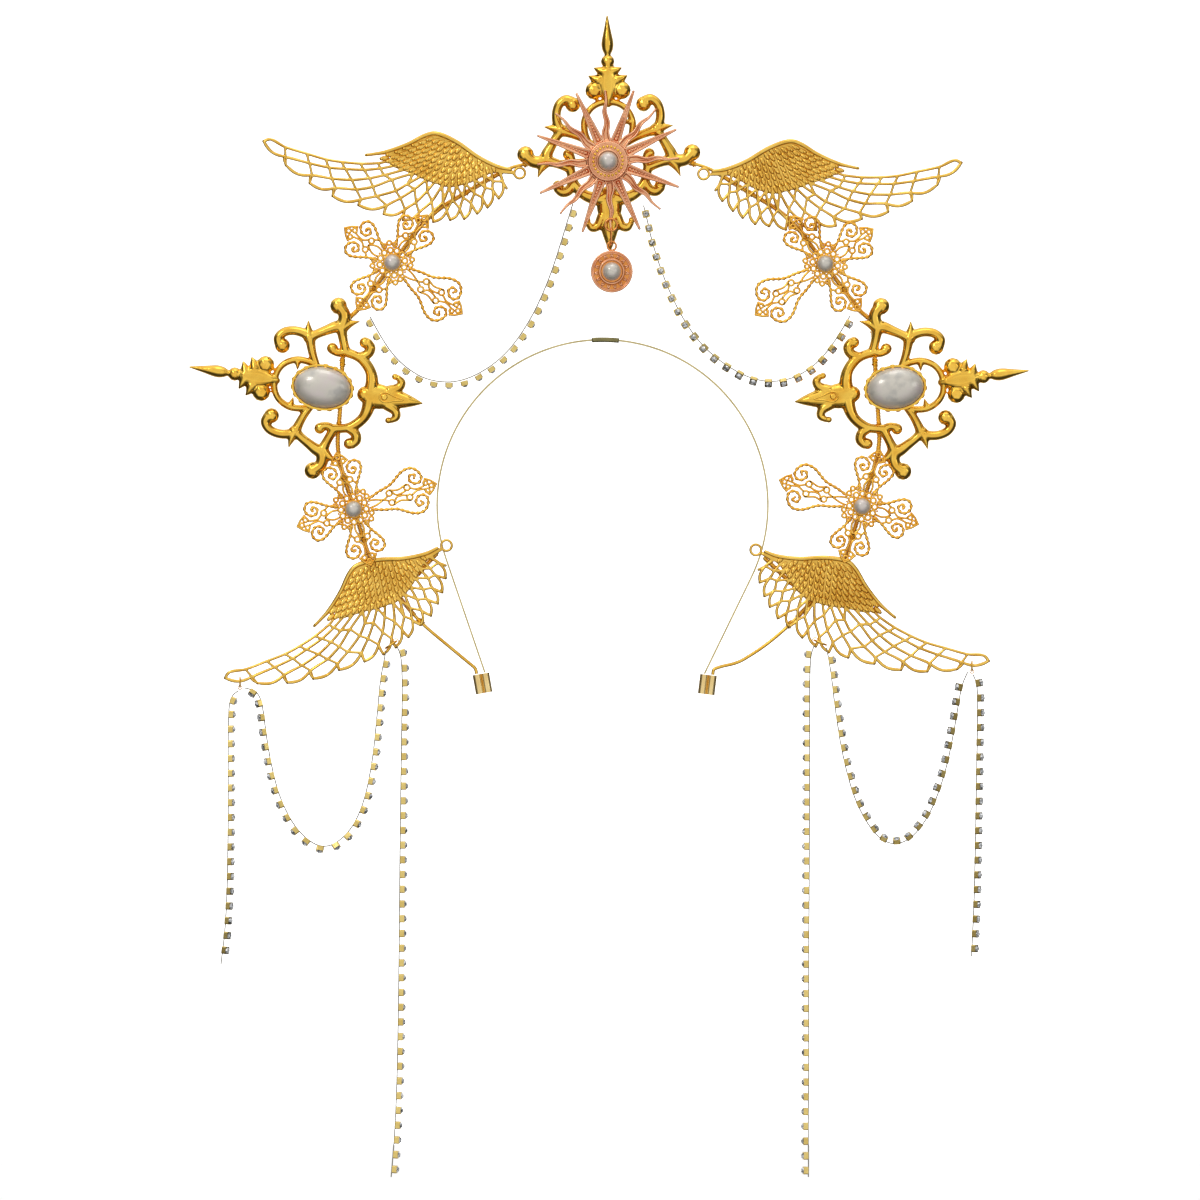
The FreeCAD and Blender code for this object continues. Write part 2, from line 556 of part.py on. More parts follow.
def bound_outline(sketch, corners):
    """A closed outline whose corners are held by expressions; "0" holds a corner to the axis."""
    values = []
    for pair in corners:
        values.append(FreeCAD.Vector(*[evaluate(text) for text in pair], 0))
    count = len(corners)
    for i in range(count):
        sketch.addGeometry(Part.LineSegment(values[i], values[(i + 1) % count]), False)
    for i in range(count):
        sketch.addConstraint(Sketcher.Constraint("Coincident", i, 2, (i + 1) % count, 1))
    for i, pair in enumerate(corners):
        for kind, axis, text in zip(("DistanceX", "DistanceY"), (-2, -1), pair):
            if text == "0":
                sketch.addConstraint(Sketcher.Constraint("PointOnObject", i, 1, axis))
                continue
            index = sketch.addConstraint(Sketcher.Constraint(kind, -1, 1, i, 1, evaluate(text)))
            sketch.setExpression("Constraints[%d]" % index, text)


def evaluate(text):
    """The number that an expression over the sheet's sizes stands for."""
    value = sheet.evalExpression(text)
    return float(getattr(value, "Value", value))


def bound_circle(sketch, text):
    """A circle about the origin whose radius is held by an expression."""
    sketch.addGeometry(Part.Circle(FreeCAD.Vector(), FreeCAD.Vector(0, 0, 1), evaluate(text)), False)
    sketch.addConstraint(Sketcher.Constraint("Coincident", 0, 3, -1, 1))
    index = sketch.addConstraint(Sketcher.Constraint("Radius", 0, evaluate(text)))
    sketch.setExpression("Constraints[%d]" % index, text)


def bound_pad(body, name, sketch, text):
    """A pad forward from the sketch whose length is held by an expression."""
    pad = body.newObject("PartDesign::Pad", name)
    pad.Profile = sketch
    pad.setExpression("Length", text)
    sketch.Visibility = False
    return pad


def round_array(body, name, feature_in, sketch, copies):
    """Copies of a feature about the sketch's normal."""
    pattern = body.newObject("PartDesign::PolarPattern", name)
    pattern.Originals = [feature_in]
    pattern.Axis = (sketch, ["N_Axis"])
    pattern.Angle = 360
    pattern.Occurrences = copies
    body.Tip = pattern
    return pattern


def starburst():
    """The star: a hub, eight straight rays and eight wavy ones."""
    body = doc.addObject("PartDesign::Body", "starburst")
    hub = new_sketch(body, "star_hub_outline")
    bound_circle(hub, "Sizes.star_hub")
    bound_pad(body, "star_hub_pad", hub, "Sizes.star_gauge + 1.2")
    straight = new_sketch(body, "straight_ray_outline")
    turn = "Sizes.straight_ray * %.5f"
    lean = math.radians(22.5)
    base = "Sizes.star_hub * %.5f"
    corners = []
    for off in (-0.24, 0.24):
        corners.append((base % (0.9 * math.sin(lean + off)), base % (0.9 * math.cos(lean + off))))
    corners.insert(1, (turn % math.sin(lean), turn % math.cos(lean)))
    bound_outline(straight, corners)
    pad = bound_pad(body, "straight_ray_pad", straight, "Sizes.star_gauge")
    doc.recompute()
    round_array(body, "straight_rays", pad, straight, 8)
    wavy = new_sketch(body, "wavy_ray_outline")
    wave = [(0.22, -1.9), (0.40, -2.1), (0.54, -0.9), (0.70, -1.5), (0.84, -0.2)]
    side = [("%.2f" % x, "Sizes.wavy_ray * %.2f" % share) for share, x in wave]
    back = [("%.2f" % (x + w), "Sizes.wavy_ray * %.2f" % share)
            for (share, x), w in zip(reversed(wave), (0.9, 1.7, 2.4, 3.1, 3.8))]
    bound_outline(wavy, side + [("0", "Sizes.wavy_ray")] + back)
    pad = bound_pad(body, "wavy_ray_pad", wavy, "Sizes.star_gauge")
    doc.recompute()
    round_array(body, "wavy_rays", pad, wavy, 8)
    body.Label = "star_rays"
    body.Placement = turned(*STAR, STAR_BACK, STAR_TURN)
    relief = doc.addObject("Part::Box", "link_relief")
    relief.Width = 3
    relief.Length = 2.6
    relief.Height = 6
    top = CONNECTOR[1] - size("connector_radius") + end_radius() + 0.35 + size("running_gap")
    relief.Placement.Base = FreeCAD.Vector((CONNECTOR[0] + BAIL[0]) / 2 - 1.3, STAR_FRONT - 0.5, top - 6)
    trimmed = doc.addObject("Part::Cut", "starburst")
    trimmed.Base, trimmed.Tool = body, relief
    return keep(trimmed, "starburst")


def medallion():
    """The pendant's disc, dished between its rim and the pearl's collar, with a bail on top."""
    x, z = BAIL
    centre = z - size("bail_radius") - size("medallion_dia") / 2 - 0.1
    body = doc.addObject("PartDesign::Body", "medallion_disc")
    disc = new_sketch(body, "medallion_outline")
    bound_circle(disc, "Sizes.medallion_dia / 2")
    bound_pad(body, "medallion_pad", disc, "Sizes.medallion_gauge")
    doc.recompute()
    dish = new_sketch(body, "medallion_dish")
    dish.AttachmentOffset = FreeCAD.Placement(FreeCAD.Vector(0, 0, size("medallion_gauge")),
                                              FreeCAD.Rotation())
    dish.setExpression("AttachmentOffset.Base.z", "Sizes.medallion_gauge")
    for number, text in enumerate(("Sizes.medallion_dia / 2 - 1.4", "Sizes.star_pearl_dia / 2 + 0.8")):
        dish.addGeometry(Part.Circle(FreeCAD.Vector(), FreeCAD.Vector(0, 0, 1), evaluate(text)), False)
        dish.addConstraint(Sketcher.Constraint("Coincident", number, 3, -1, 1))
        index = dish.addConstraint(Sketcher.Constraint("Radius", number, evaluate(text)))
        dish.setExpression("Constraints[%d]" % index, text)
    cut = body.newObject("PartDesign::Pocket", "medallion_pocket")
    cut.Profile = dish
    cut.Length = 0.6
    body.Placement = turned(BAIL[0], centre, PENDANT_Y + size("medallion_gauge") / 2, 0)
    bail = doc.addObject("Part::Torus", "medallion_bail")
    bail.setExpression("Radius1", "Sizes.bail_radius")
    bail.setExpression("Radius2", "Sizes.bail_dia / 2")
    bail.Placement = FreeCAD.Placement(flat(x, z, PENDANT_Y), FreeCAD.Rotation(FreeCAD.Vector(1, 0, 0), 90))
    fused = doc.addObject("Part::MultiFuse", "medallion")
    fused.Shapes = [body, bail]
    keep(fused, "medallion")
    return centre


def pearl(label, diameter, x, y, z):
    """A half-drilled pearl that sits flat side back, a little more than a hemisphere deep."""
    ball = doc.addObject("Part::Sphere", label)
    ball.setExpression("Radius", "Sizes.%s / 2" % diameter)
    ball.Angle1 = -12
    ball.Placement = FreeCAD.Placement(flat(x, z, y), FreeCAD.Rotation(FreeCAD.Vector(1, 0, 0), 90))
    return ball


def seated(diameter, back):
    """Depth of a pearl's centre whose flat lies on a face at depth back."""
    return back - size(diameter) / 2 * math.sin(math.radians(12)) - 0.02


def group(label, members):
    """Identical pieces that share a node as separate solids."""
    compound = doc.addObject("Part::Compound", label)
    compound.Links = members
    return keep(compound, label)


def cross_pearls():
    """The four round pearls at the middles of the crosses."""
    depth = seated("cross_pearl_dia", CROSS_BACK - size("cross_gauge"))
    balls = []
    for name, (x, z, angle) in CROSSES.items():
        balls.append(pearl(name + "_pearl", "cross_pearl_dia", x, depth, z))
    return group("cross_pearls", balls)


def oval_settings():
    """The two large oval pearls and the scalloped bezels that hold them."""
    pearls, bezels = [], []
    for name in ("left_ornament", "right_ornament"):
        x, z, angle = ORNAMENTS[name]
        wall = []
        for number, grow in enumerate(("0", "Sizes.bezel_wall")):
            shape = doc.addObject("Part::Ellipse", "%s_ellipse%d" % (name, number))
            shape.setExpression("MajorRadius", "Sizes.oval_pearl_long / 2 + 0.1 + " + grow)
            shape.setExpression("MinorRadius", "Sizes.oval_pearl_short / 2 + 0.1 + " + grow)
            solid = doc.addObject("Part::Extrusion", "%s_bezel%d" % (name, number))
            solid.Base = shape
            solid.Dir = FreeCAD.Vector(0, 0, 1)
            solid.Solid = True
            solid.setExpression("LengthFwd", "Sizes.bezel_height" + ("" if number else " + 1"))
            if number == 0:
                solid.setExpression("Placement.Base.z", "Sizes.bezel_wall / 2")
            wall.append(solid)
        bezel = doc.addObject("Part::Cut", name + "_bezel")
        bezel.Base, bezel.Tool = wall[1], wall[0]
        turn = FreeCAD.Rotation(FreeCAD.Vector(0, -1, 0), angle)
        upright = FreeCAD.Rotation(FreeCAD.Vector(1, 0, 0), 90)
        bezel.Placement = FreeCAD.Placement(flat(x, z, STAR_BACK), turn.multiply(upright))
        bezels.append(bezel)
        ball = doc.addObject("Part::Ellipsoid", name + "_pearl")
        ball.setExpression("Radius1", "Sizes.oval_pearl_height")
        ball.setExpression("Radius2", "Sizes.oval_pearl_long / 2")
        ball.setExpression("Radius3", "Sizes.oval_pearl_short / 2")
        ball.Angle1 = 0
        seat = STAR_BACK - size("bezel_wall") / 2 - 0.8
        ball.Placement = FreeCAD.Placement(flat(x, z, seat), turn.multiply(upright))
        pearls.append(ball)
    group("oval_bezels", bezels)
    group("oval_pearls", pearls)


# ---------------------------------------------------------------- pendant and rings
def oval_link(top, bottom, radius, diameter, x, y):
    """A long link across the plane of the crown, its two round ends about two heights."""
    points = []
    arcs = []
    for height, sign in ((top, 1), (bottom, -1)):
        ends = [FreeCAD.Vector(x, y - radius * sign, height), FreeCAD.Vector(x, y, height + radius * sign),
                FreeCAD.Vector(x, y + radius * sign, height)]
        arcs.append(Part.Arc(*ends).toShape())
        points.append(ends)
    sides = [Part.LineSegment(points[0][2], points[1][0]).toShape(),
             Part.LineSegment(points[1][2], points[0][0]).toShape()]
    path = Part.Wire([arcs[0], sides[0], arcs[1], sides[1]])
    start = path.Edges[0]
    ring = Part.Circle(points[0][0], start.tangentAt(start.FirstParameter), diameter / 2)
    return path.makePipeShell([Part.Wire([ring.toShape()])], True, False)


def end_radius():
    """Radius of the link's round ends, clear of the wire that each end holds."""
    return size("connector_dia") / 2 + size("running_gap") + 0.04 + size("link_dia") / 2


def pendant():
    """The connector on the star, the link through it, the medallion and its pearl."""
    x, z = CONNECTOR
    ring = doc.addObject("Part::Torus", "star_connector")
    ring.setExpression("Radius1", "Sizes.connector_radius")
    ring.setExpression("Radius2", "Sizes.connector_dia / 2")
    facing = FreeCAD.Rotation(FreeCAD.Vector(1, 0, 0), 90)
    keep(ring, "star_connector", FreeCAD.Placement(flat(x, z, PENDANT_Y), facing))
    link = oval_link(z - size("connector_radius"), BAIL[1] + size("bail_radius"), end_radius(),
                     size("link_dia"), (x + BAIL[0]) / 2, PENDANT_Y)
    feature("pendant_link", link)
    centre = medallion()
    front = PENDANT_Y - size("medallion_gauge") / 2
    keep(pearl("pendant_pearl", "star_pearl_dia", BAIL[0], seated("star_pearl_dia", front), centre),
         "pendant_pearl")


def ring_pair(label, places, radius, diameter):
    """Rings of one size round the edges of the lower wings."""
    members = []
    for number, (x, z, lean) in enumerate(places):
        ring = doc.addObject("Part::Torus", "%s_%d" % (label, number))
        ring.setExpression("Radius1", "Sizes." + radius)
        ring.setExpression("Radius2", "Sizes.%s / 2" % diameter)
        axis = flat(-math.sin(math.radians(lean)), math.cos(math.radians(lean)))
        turn = FreeCAD.Rotation(FreeCAD.Vector(0, 0, 1), axis)
        ring.Placement = FreeCAD.Placement(flat(x, z, WING_MIDDLE), turn)
        members.append(ring)
    return group(label, members)


def loop_place(label):
    """Centre of a small loop: on the middle line of its ring's wire."""
    kind, number, end = LOOPS[label]
    if kind == "tip":
        x, z, lean = TIP_RINGS[number]
        return FreeCAD.Vector(x, WING_MIDDLE, z - size("tip_ring_radius"))
    x, z, lean = WING_RINGS[number]
    radius, angle = size("wing_ring_radius"), math.radians(lean)
    reach = end * math.sqrt(radius ** 2 - (DROP_Y - WING_MIDDLE) ** 2)
    return flat(x + reach * math.cos(angle), z + reach * math.sin(angle), DROP_Y)


def drop_loops():
    """Small loops that hang in the rings and carry the free strands."""
    for label, (kind, number, end) in LOOPS.items():
        gap = size("running_gap") + (0.32 if kind == "wing" else 0.04)
        radius = size(kind + "_ring_dia") / 2 + gap + size("loop_dia") / 2
        at = loop_place(label)
        print("%s centre %.3f %.3f %.3f radius %.3f" % (label, at.x, at.y, at.z, radius))
        feature(label, torus(radius, size("loop_dia"), at.x, at.y, at.z, FreeCAD.Vector(0, 1, 0)))


# ---------------------------------------------------------------- chains
def cup_and_stone():
    """One square cup with its bore forward, and the cut stone that sits in it."""
    side, deep = size("cup_side"), size("cup_depth")
    back = -(size("thread_dia") / 2 + 0.12)
    box = Part.makeBox(side, deep, side, FreeCAD.Vector(-side / 2, back - deep, -side / 2))
    upright = [e for e in box.Edges if abs(e.tangentAt(0).y) > 0.9]
    box = box.makeFillet(0.6, upright)
    forward = FreeCAD.Vector(0, -1, 0)
    floor = back - 0.5
    bore = Part.makeCylinder(size("cup_bore") / 2, deep, FreeCAD.Vector(0, floor, 0), forward)
    radius = size("stone_dia") / 2
    heights = [(0.5, 0.02), (radius, deep - 0.7), (radius, deep - 0.4), (radius * 0.55, deep + 0.3)]
    profile = [FreeCAD.Vector(0, floor - heights[0][1], 0)]
    profile += [FreeCAD.Vector(r, floor - y, 0) for r, y in heights]
    profile.append(FreeCAD.Vector(0, floor - heights[-1][1], 0))
    outline = Part.makePolygon(profile + profile[:1])
    stone = Part.Face(outline).revolve(FreeCAD.Vector(), FreeCAD.Vector(0, 1, 0), 360)
    return box.cut(bore), stone


def path_point(path, distance):
    """Place and direction at a distance along a path."""
    for edge in path.OrderedEdges:
        if distance <= edge.Length + 1e-6:
            share = edge.getParameterByLength(min(distance, edge.Length))
            return edge.valueAt(share), edge.tangentAt(share)
        distance -= edge.Length
    return None


def nearest(path, point):
    """How far along a path the spot nearest to a point lies."""
    best, gone = None, 0.0
    for edge in path.OrderedEdges:
        for step in range(21):
            away = (edge.valueAt(edge.getParameterByLength(edge.Length * step / 20.01)) - point).Length
            if best is None or away < best[0]:
                best = (away, gone + edge.Length * step / 20)
        gone += edge.Length
    return best[1]


def chain(name, first_y, last_y):
    """One strand: its thread, its cups and their stones."""
    last = len(ROUTES[name]) - 1
    route = [flat(x, z, first_y + (last_y - first_y) * i / last) for i, (x, z) in enumerate(ROUTES[name])]
    path, radii = rounded_path(route)
    thread = tube(path, size("thread_dia"))
    section = math.pi * (size("thread_dia") / 2) ** 2
    print("%s length %.1f mm, volume share %.3f, radii %s" % (
        name, path.Length, thread.Volume / (section * path.Length),
        " ".join("%.0f" % r for r in radii)))
    cup, stone = cup_and_stone()
    first_turn, last_turn, start = CUPS[name]
    count = int((path.Length - start - size("cup_side") / 2) / size("cup_pitch")) + 1
    cups, stones = [], []
    for number in range(count):
        place, along = path_point(path, start + number * size("cup_pitch"))
        twist = math.radians(first_turn + (last_turn - first_turn) * number / (count - 1))
        beside = along.cross(FreeCAD.Vector(0, 1, 0)).normalize()
        face = FreeCAD.Vector(0, -1, 0) * math.cos(twist) + beside * math.sin(twist)
        rear = face * -1
        across = rear.cross(along)
        matrix = FreeCAD.Matrix(across.x, rear.x, along.x, place.x, across.y, rear.y, along.y, place.y,
                                across.z, rear.z, along.z, place.z, 0, 0, 0, 1)
        for template, pieces in ((cup, cups), (stone, stones)):
            piece = template.copy()
            piece.Placement = FreeCAD.Placement(matrix)
            pieces.append(piece)
    feature(name + "_thread", thread)
    feature(name + "_cups", Part.makeCompound(cups))
    feature(name + "_stones", Part.makeCompound(stones))


def lashings(paths):
    """Turns of fine wire round the halo frame where it holds the castings."""
    turns = []
    radius = size("wire_dia") / 2 + size("lashing_dia") / 2 + 0.04
    for wire, x, z in LASHINGS:
        middle = nearest(paths[wire], flat(x, z, FRAME_Y))
        for number in range(LASHING_TURNS):
            step = (number - (LASHING_TURNS - 1) / 2) * (size("lashing_dia") + 0.05)
            place, axis = path_point(paths[wire], middle + step)
            turns.append(torus(radius, size("lashing_dia"), place.x, place.y, place.z, axis))
    feature("wire_lashings", Part.makeCompound(turns))


def build():
    """Makes every sub-part."""
    feature("hoop_band", hoop_band())
    for label in FERRULES:
        ferrule(label)
    paths = {}
    for label, route in list(FRAMES.items()) + list(BRACES.items()):
        ends = [mouth(label.replace("frame_wire", "ferrule"), False)] if label in FRAMES else []
        paths[label], radii = rounded_path([flat(x, z, FRAME_Y) for x, z in ends + route])
        feature(label, tube(paths[label], size("wire_dia")))
    wing = wing_shape()
    mirrored = wing.mirror(FreeCAD.Vector(), FreeCAD.Vector(1, 0, 0))
    for label, (x, z, angle, flipped) in WINGS.items():
        shape = mirrored if flipped else wing
        feature(label, shape, turned(x, z, PLATE_BACK, -angle if flipped else angle))
    cross = cross_shape()
    for label, (x, z, angle) in CROSSES.items():
        feature(label, cross, turned(x, z, CROSS_BACK, angle))
    ornament = ornament_shape()
    for label, (x, z, angle) in ORNAMENTS.items():
        feature(label, ornament, turned(x, z, PLATE_BACK, angle))
    cross_pearls()
    oval_settings()
    starburst()
    hub_front = STAR_BACK - size("star_gauge") - 1.2
    keep(pearl("star_pearl", "star_pearl_dia", STAR[0], seated("star_pearl_dia", hub_front), STAR[1]),
         "star_pearl")
    pendant()
    lashings(paths)
    ring_pair("tip_rings", TIP_RINGS, "tip_ring_radius", "tip_ring_dia")
    ring_pair("wing_rings", WING_RINGS, "wing_ring_radius", "wing_ring_dia")
    drop_loops()
    depths = {"upper_left_swag": (SWAG_Y, SWAG_Y), "upper_right_swag": (SWAG_Y, SWAG_Y),
              "lower_left_swag": (WING_MIDDLE, DROP_Y), "lower_right_swag": (DROP_Y, WING_MIDDLE),
              "left_tip_drop": (WING_MIDDLE, WING_MIDDLE), "right_tip_drop": (WING_MIDDLE, WING_MIDDLE),
              "left_long_drop": (DROP_Y, DROP_Y), "right_long_drop": (DROP_Y, DROP_Y)}
    for name, (first_y, last_y) in depths.items():
        chain(name, first_y, last_y)


def check_and_write():
    """Stops on a failed object, then writes one STEP file for each sub-part."""
    doc.recompute()
    for obj in doc.Objects:
        for word in ("Invalid", "Error"):
            if word in obj.State:
                raise RuntimeError("%s is %s" % (obj.Label, obj.State))
    for obj in parts:
        if obj.Shape.isNull() or not obj.Shape.isValid():
            raise RuntimeError("%s has no valid shape" % obj.Label)
    os.makedirs("parts", exist_ok=True)
    for obj in parts:
        obj.Shape.exportStep("parts/%s.step" % obj.Label)
    print("%d sub-parts" % len(parts))


build()
check_and_write()
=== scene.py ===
import math

import bmesh
import bpy
import numpy as np
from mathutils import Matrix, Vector
from mathutils.kdtree import KDTree


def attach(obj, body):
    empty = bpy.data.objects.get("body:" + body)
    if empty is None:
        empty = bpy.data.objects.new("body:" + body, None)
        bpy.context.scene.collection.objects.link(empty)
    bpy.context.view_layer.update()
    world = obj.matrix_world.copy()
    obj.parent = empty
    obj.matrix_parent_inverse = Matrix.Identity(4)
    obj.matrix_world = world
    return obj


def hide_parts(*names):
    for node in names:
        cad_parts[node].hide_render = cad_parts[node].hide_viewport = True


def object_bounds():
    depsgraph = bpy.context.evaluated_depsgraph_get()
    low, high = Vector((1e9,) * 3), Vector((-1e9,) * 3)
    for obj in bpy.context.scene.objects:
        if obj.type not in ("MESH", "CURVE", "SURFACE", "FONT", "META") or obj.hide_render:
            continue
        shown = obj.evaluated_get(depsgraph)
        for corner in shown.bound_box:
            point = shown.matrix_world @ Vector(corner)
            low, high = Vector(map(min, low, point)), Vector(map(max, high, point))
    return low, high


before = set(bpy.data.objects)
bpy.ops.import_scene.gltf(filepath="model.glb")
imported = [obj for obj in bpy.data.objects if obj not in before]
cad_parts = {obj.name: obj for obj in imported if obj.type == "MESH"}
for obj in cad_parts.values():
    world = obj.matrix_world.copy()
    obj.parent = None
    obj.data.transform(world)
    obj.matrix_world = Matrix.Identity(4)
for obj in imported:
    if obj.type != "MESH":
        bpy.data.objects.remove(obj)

cad_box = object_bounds()
MM = 0.001
TURN = 2 * math.pi

# Depths of the layers, as in the CAD: the front of the crown faces -Y.
PLATE_BACK, WING_MIDDLE, COVERT_FACE = -2.5, -3.35, -3.72
CROSS_MIDDLE, CROSS_FRONT = -5.0, -5.7
ORNAMENT_FRONT = -6.7
STAR_BACK, STAR_FRONT, HUB_FRONT = -6.8, -8.4, -9.6
PENDANT_FRONT = -10.0
FRAME_MIDDLE = -1.05

# Places in the plane of the crown: x, z and the turn in degrees; wings also say if they are mirrored.
WINGS = {
    "upper_left_wing": (-36.0, 144.2, 7.2, True),
    "upper_right_wing": (43.9, 143.8, 2.6, False),
    "lower_left_wing": (-67.8, -17.6, -30.8, True),
    "lower_right_wing": (66.6, -19.5, -25.4, False),
}
CROSSES = {
    "upper_left_cross": (-91.3, 105.2, -36.2),
    "upper_right_cross": (96.7, 104.7, 216.2),
    "lower_left_cross": (-108.1, -1.9, 17.2),
    "lower_right_cross": (112.7, -0.6, 162.3),
}
ORNAMENTS = {
    "top_ornament": (2.7, 153.9, -89.3),
    "left_ornament": (-121.5, 50.9, -8.9),
    "right_ornament": (127.0, 50.6, 187.6),
}
STAR = (2.4, 149.0, 2.5)
MEDALLION = (4.0, 101.1, 0.0)

# Routes of the chains in metres, x and z, from the piece that they hang on.
ROUTES = {
    "upper_left_swag": [(-0.0129, 0.1307), (-0.0148, 0.1248), (-0.0176, 0.1153), (-0.0235, 0.097),
        (-0.032, 0.0787), (-0.0437, 0.0631), (-0.0602, 0.0533), (-0.075, 0.0535), (-0.0863, 0.06),
        (-0.095, 0.0702), (-0.101, 0.0818)],
    "upper_right_swag": [(0.0178, 0.1301), (0.0194, 0.124), (0.0215, 0.114), (0.0274, 0.0961),
        (0.0363, 0.0779), (0.0476, 0.0644), (0.065, 0.0539), (0.0798, 0.0535), (0.092, 0.06),
        (0.1016, 0.0716), (0.1074, 0.082)],
    "lower_left_swag": [(-0.1557, -0.0795), (-0.1528, -0.0799), (-0.1492, -0.0822), (-0.1475, -0.0883),
        (-0.1464, -0.0979), (-0.1442, -0.1118), (-0.1403, -0.1275), (-0.1325, -0.1422),
        (-0.1211, -0.1501), (-0.1103, -0.1431), (-0.1037, -0.1301), (-0.0998, -0.1109),
        (-0.0979, -0.0913), (-0.0966, -0.077), (-0.0953, -0.0694), (-0.094, -0.0632)],
    "lower_right_swag": [(0.0972, -0.0619), (0.0982, -0.0666), (0.0994, -0.074), (0.1009, -0.0874),
        (0.1042, -0.1092), (0.1103, -0.1309), (0.1207, -0.1466), (0.1316, -0.1475), (0.1416, -0.1362),
        (0.1486, -0.1179), (0.1525, -0.0996), (0.1549, -0.0848), (0.1564, -0.077), (0.1587, -0.0726)],
    "left_tip_drop": [(-0.1581, -0.0807), (-0.1604, -0.082), (-0.1621, -0.0854), (-0.1626, -0.0934),
        (-0.1627, -0.1101), (-0.1626, -0.1396), (-0.1631, -0.1697), (-0.1642, -0.1871),
        (-0.1653, -0.1953), (-0.1658, -0.1997)],
    "right_tip_drop": [(0.161, -0.0738), (0.1622, -0.076), (0.163, -0.0812), (0.163, -0.0918),
        (0.1626, -0.1135), (0.1621, -0.1457), (0.1614, -0.174), (0.1607, -0.1884), (0.1603, -0.1962)],
    "left_long_drop": [(-0.0894, -0.0613), (-0.088, -0.0638), (-0.0872, -0.0686), (-0.0869, -0.0802),
        (-0.0874, -0.1074), (-0.088, -0.1544), (-0.0884, -0.2023), (-0.0891, -0.2458),
        (-0.0901, -0.271), (-0.0912, -0.2849), (-0.0918, -0.2919)],
    "right_long_drop": [(0.092, -0.061), (0.0908, -0.0636), (0.0902, -0.0686), (0.0899, -0.0801),
        (0.09, -0.1074), (0.0898, -0.1544), (0.0895, -0.2023), (0.0896, -0.2458), (0.0893, -0.271),
        (0.0895, -0.2849), (0.0894, -0.2919)],
}
# Depth in metres at each end, length in metres, and what the chain's far end is.
CHAINS = {
    "upper_left_swag": (-0.005, -0.005, 0.1474, "object"),
    "upper_right_swag": (-0.005, -0.005, 0.1481, "object"),
    "lower_left_swag": (-0.00335, -0.00475, 0.1768, "object"),
    "lower_right_swag": (-0.00475, -0.00335, 0.1797, "object"),
    "left_tip_drop": (-0.00335, -0.00335, 0.1208, "bare"),
    "right_tip_drop": (-0.00335, -0.00335, 0.1228, "bare"),
    "left_long_drop": (-0.00475, -0.00475, 0.2311, "bare"),
    "right_long_drop": (-0.00475, -0.00475, 0.2312, "bare"),
}
THREAD_DIAMETER = 0.0005

# A wing's edges, as in the CAD: each feather's from its tip to its root at the covert, the leading
# rod, and the direction that each feather leaves its root in.
FEATHERS = [
    [(112.2, -0.2), (109.2, 1.0), (102.6, -1.5), (92.9, -3.2), (84.5, -4.6), (77.4, -4.9), (69.2, -4.6),
     (61.4, -3.4), (57.3, -1.9)],
    [(101.2, -9.4), (101.8, -5.9), (91.2, -7.2), (82.5, -8.0), (75.4, -7.7), (67.3, -7.1), (60.4, -5.6),
     (54.7, -3.8)],
    [(90.0, -15.8), (89.3, -12.3), (80.7, -12.6), (72.0, -12.1), (64.5, -10.4), (58.4, -8.3),
     (50.0, -4.9)],
    [(79.4, -20.1), (78.5, -16.5), (69.6, -16.0), (62.5, -13.9), (54.6, -9.8), (45.6, -5.8)],
    [(67.8, -22.6), (66.8, -20.0), (60.6, -17.8), (52.5, -14.4), (48.0, -11.0), (42.5, -6.9)],
    [(56.4, -25.1), (55.4, -21.2), (50.0, -17.3), (44.4, -12.6), (39.8, -7.9)],
    [(47.8, -26.6), (47.4, -22.0), (43.1, -18.2), (38.9, -12.8), (36.2, -8.6)],
    [(41.6, -26.8), (41.2, -22.6), (36.3, -16.9), (32.6, -9.2)],
    [(34.6, -25.8), (35.3, -21.4), (31.6, -16.9), (29.6, -9.5)],
    [(27.4, -24.0), (29.3, -20.1), (27.5, -15.2), (26.6, -8.7)],
    [(21.4, -22.8), (23.8, -18.7), (23.0, -13.6), (22.9, -7.4)],
    [(16.1, -19.8), (19.3, -15.6), (18.5, -11.2), (18.9, -5.2)],
    [(12.0, -16.6), (14.8, -12.6), (14.1, -8.2), (15.4, -2.8)],
    [(7.6, -12.1), (10.7, -8.5), (11.2, -5.0), (12.2, -1.0)],
    [(4.8, -7.3), (6.8, -4.6), (9.0, -0.5)],
]
ROD = [(3.6, 1.0), (10.0, 1.6), (19.0, 4.7), (28.7, 9.8), (37.3, 12.4), (42.6, 11.1), (50.0, 6.2),
       (59.0, 1.8), (67.2, -0.6)]
ROOTS = [(9.0, -0.5, -125.0), (12.2, -1.0, -104.0), (15.4, -2.8, -98.0), (18.9, -5.2, -94.0),
         (22.9, -7.4, -90.0), (26.6, -8.7, -83.0), (29.6, -9.5, -75.0), (32.6, -9.2, -66.0),
         (36.2, -8.6, -58.0), (39.8, -7.9, -46.0), (42.5, -6.9, -37.0), (45.6, -5.8, -31.0),
         (50.0, -4.9, -26.0), (54.7, -3.8, -21.0), (59.0, -2.4, -18.0)]


def placed(name, data):
    """A new object in the scene."""
    made = bpy.data.objects.new(name, data)
    bpy.context.scene.collection.objects.link(made)
    return made


# ---------------------------------------------------------------- camera, floor and light
def camera():
    """The photograph's view: level, straight on, from far enough away to be nearly parallel."""
    data = bpy.data.cameras.new("camera")
    data.lens, data.sensor_width, data.clip_end = 200.0, 36.0, 20.0
    view = placed("camera", data)
    view.location = (-0.0011, -2.9, -0.0413)
    view.rotation_euler = (math.radians(90), 0, 0)
    bpy.context.scene.camera = view


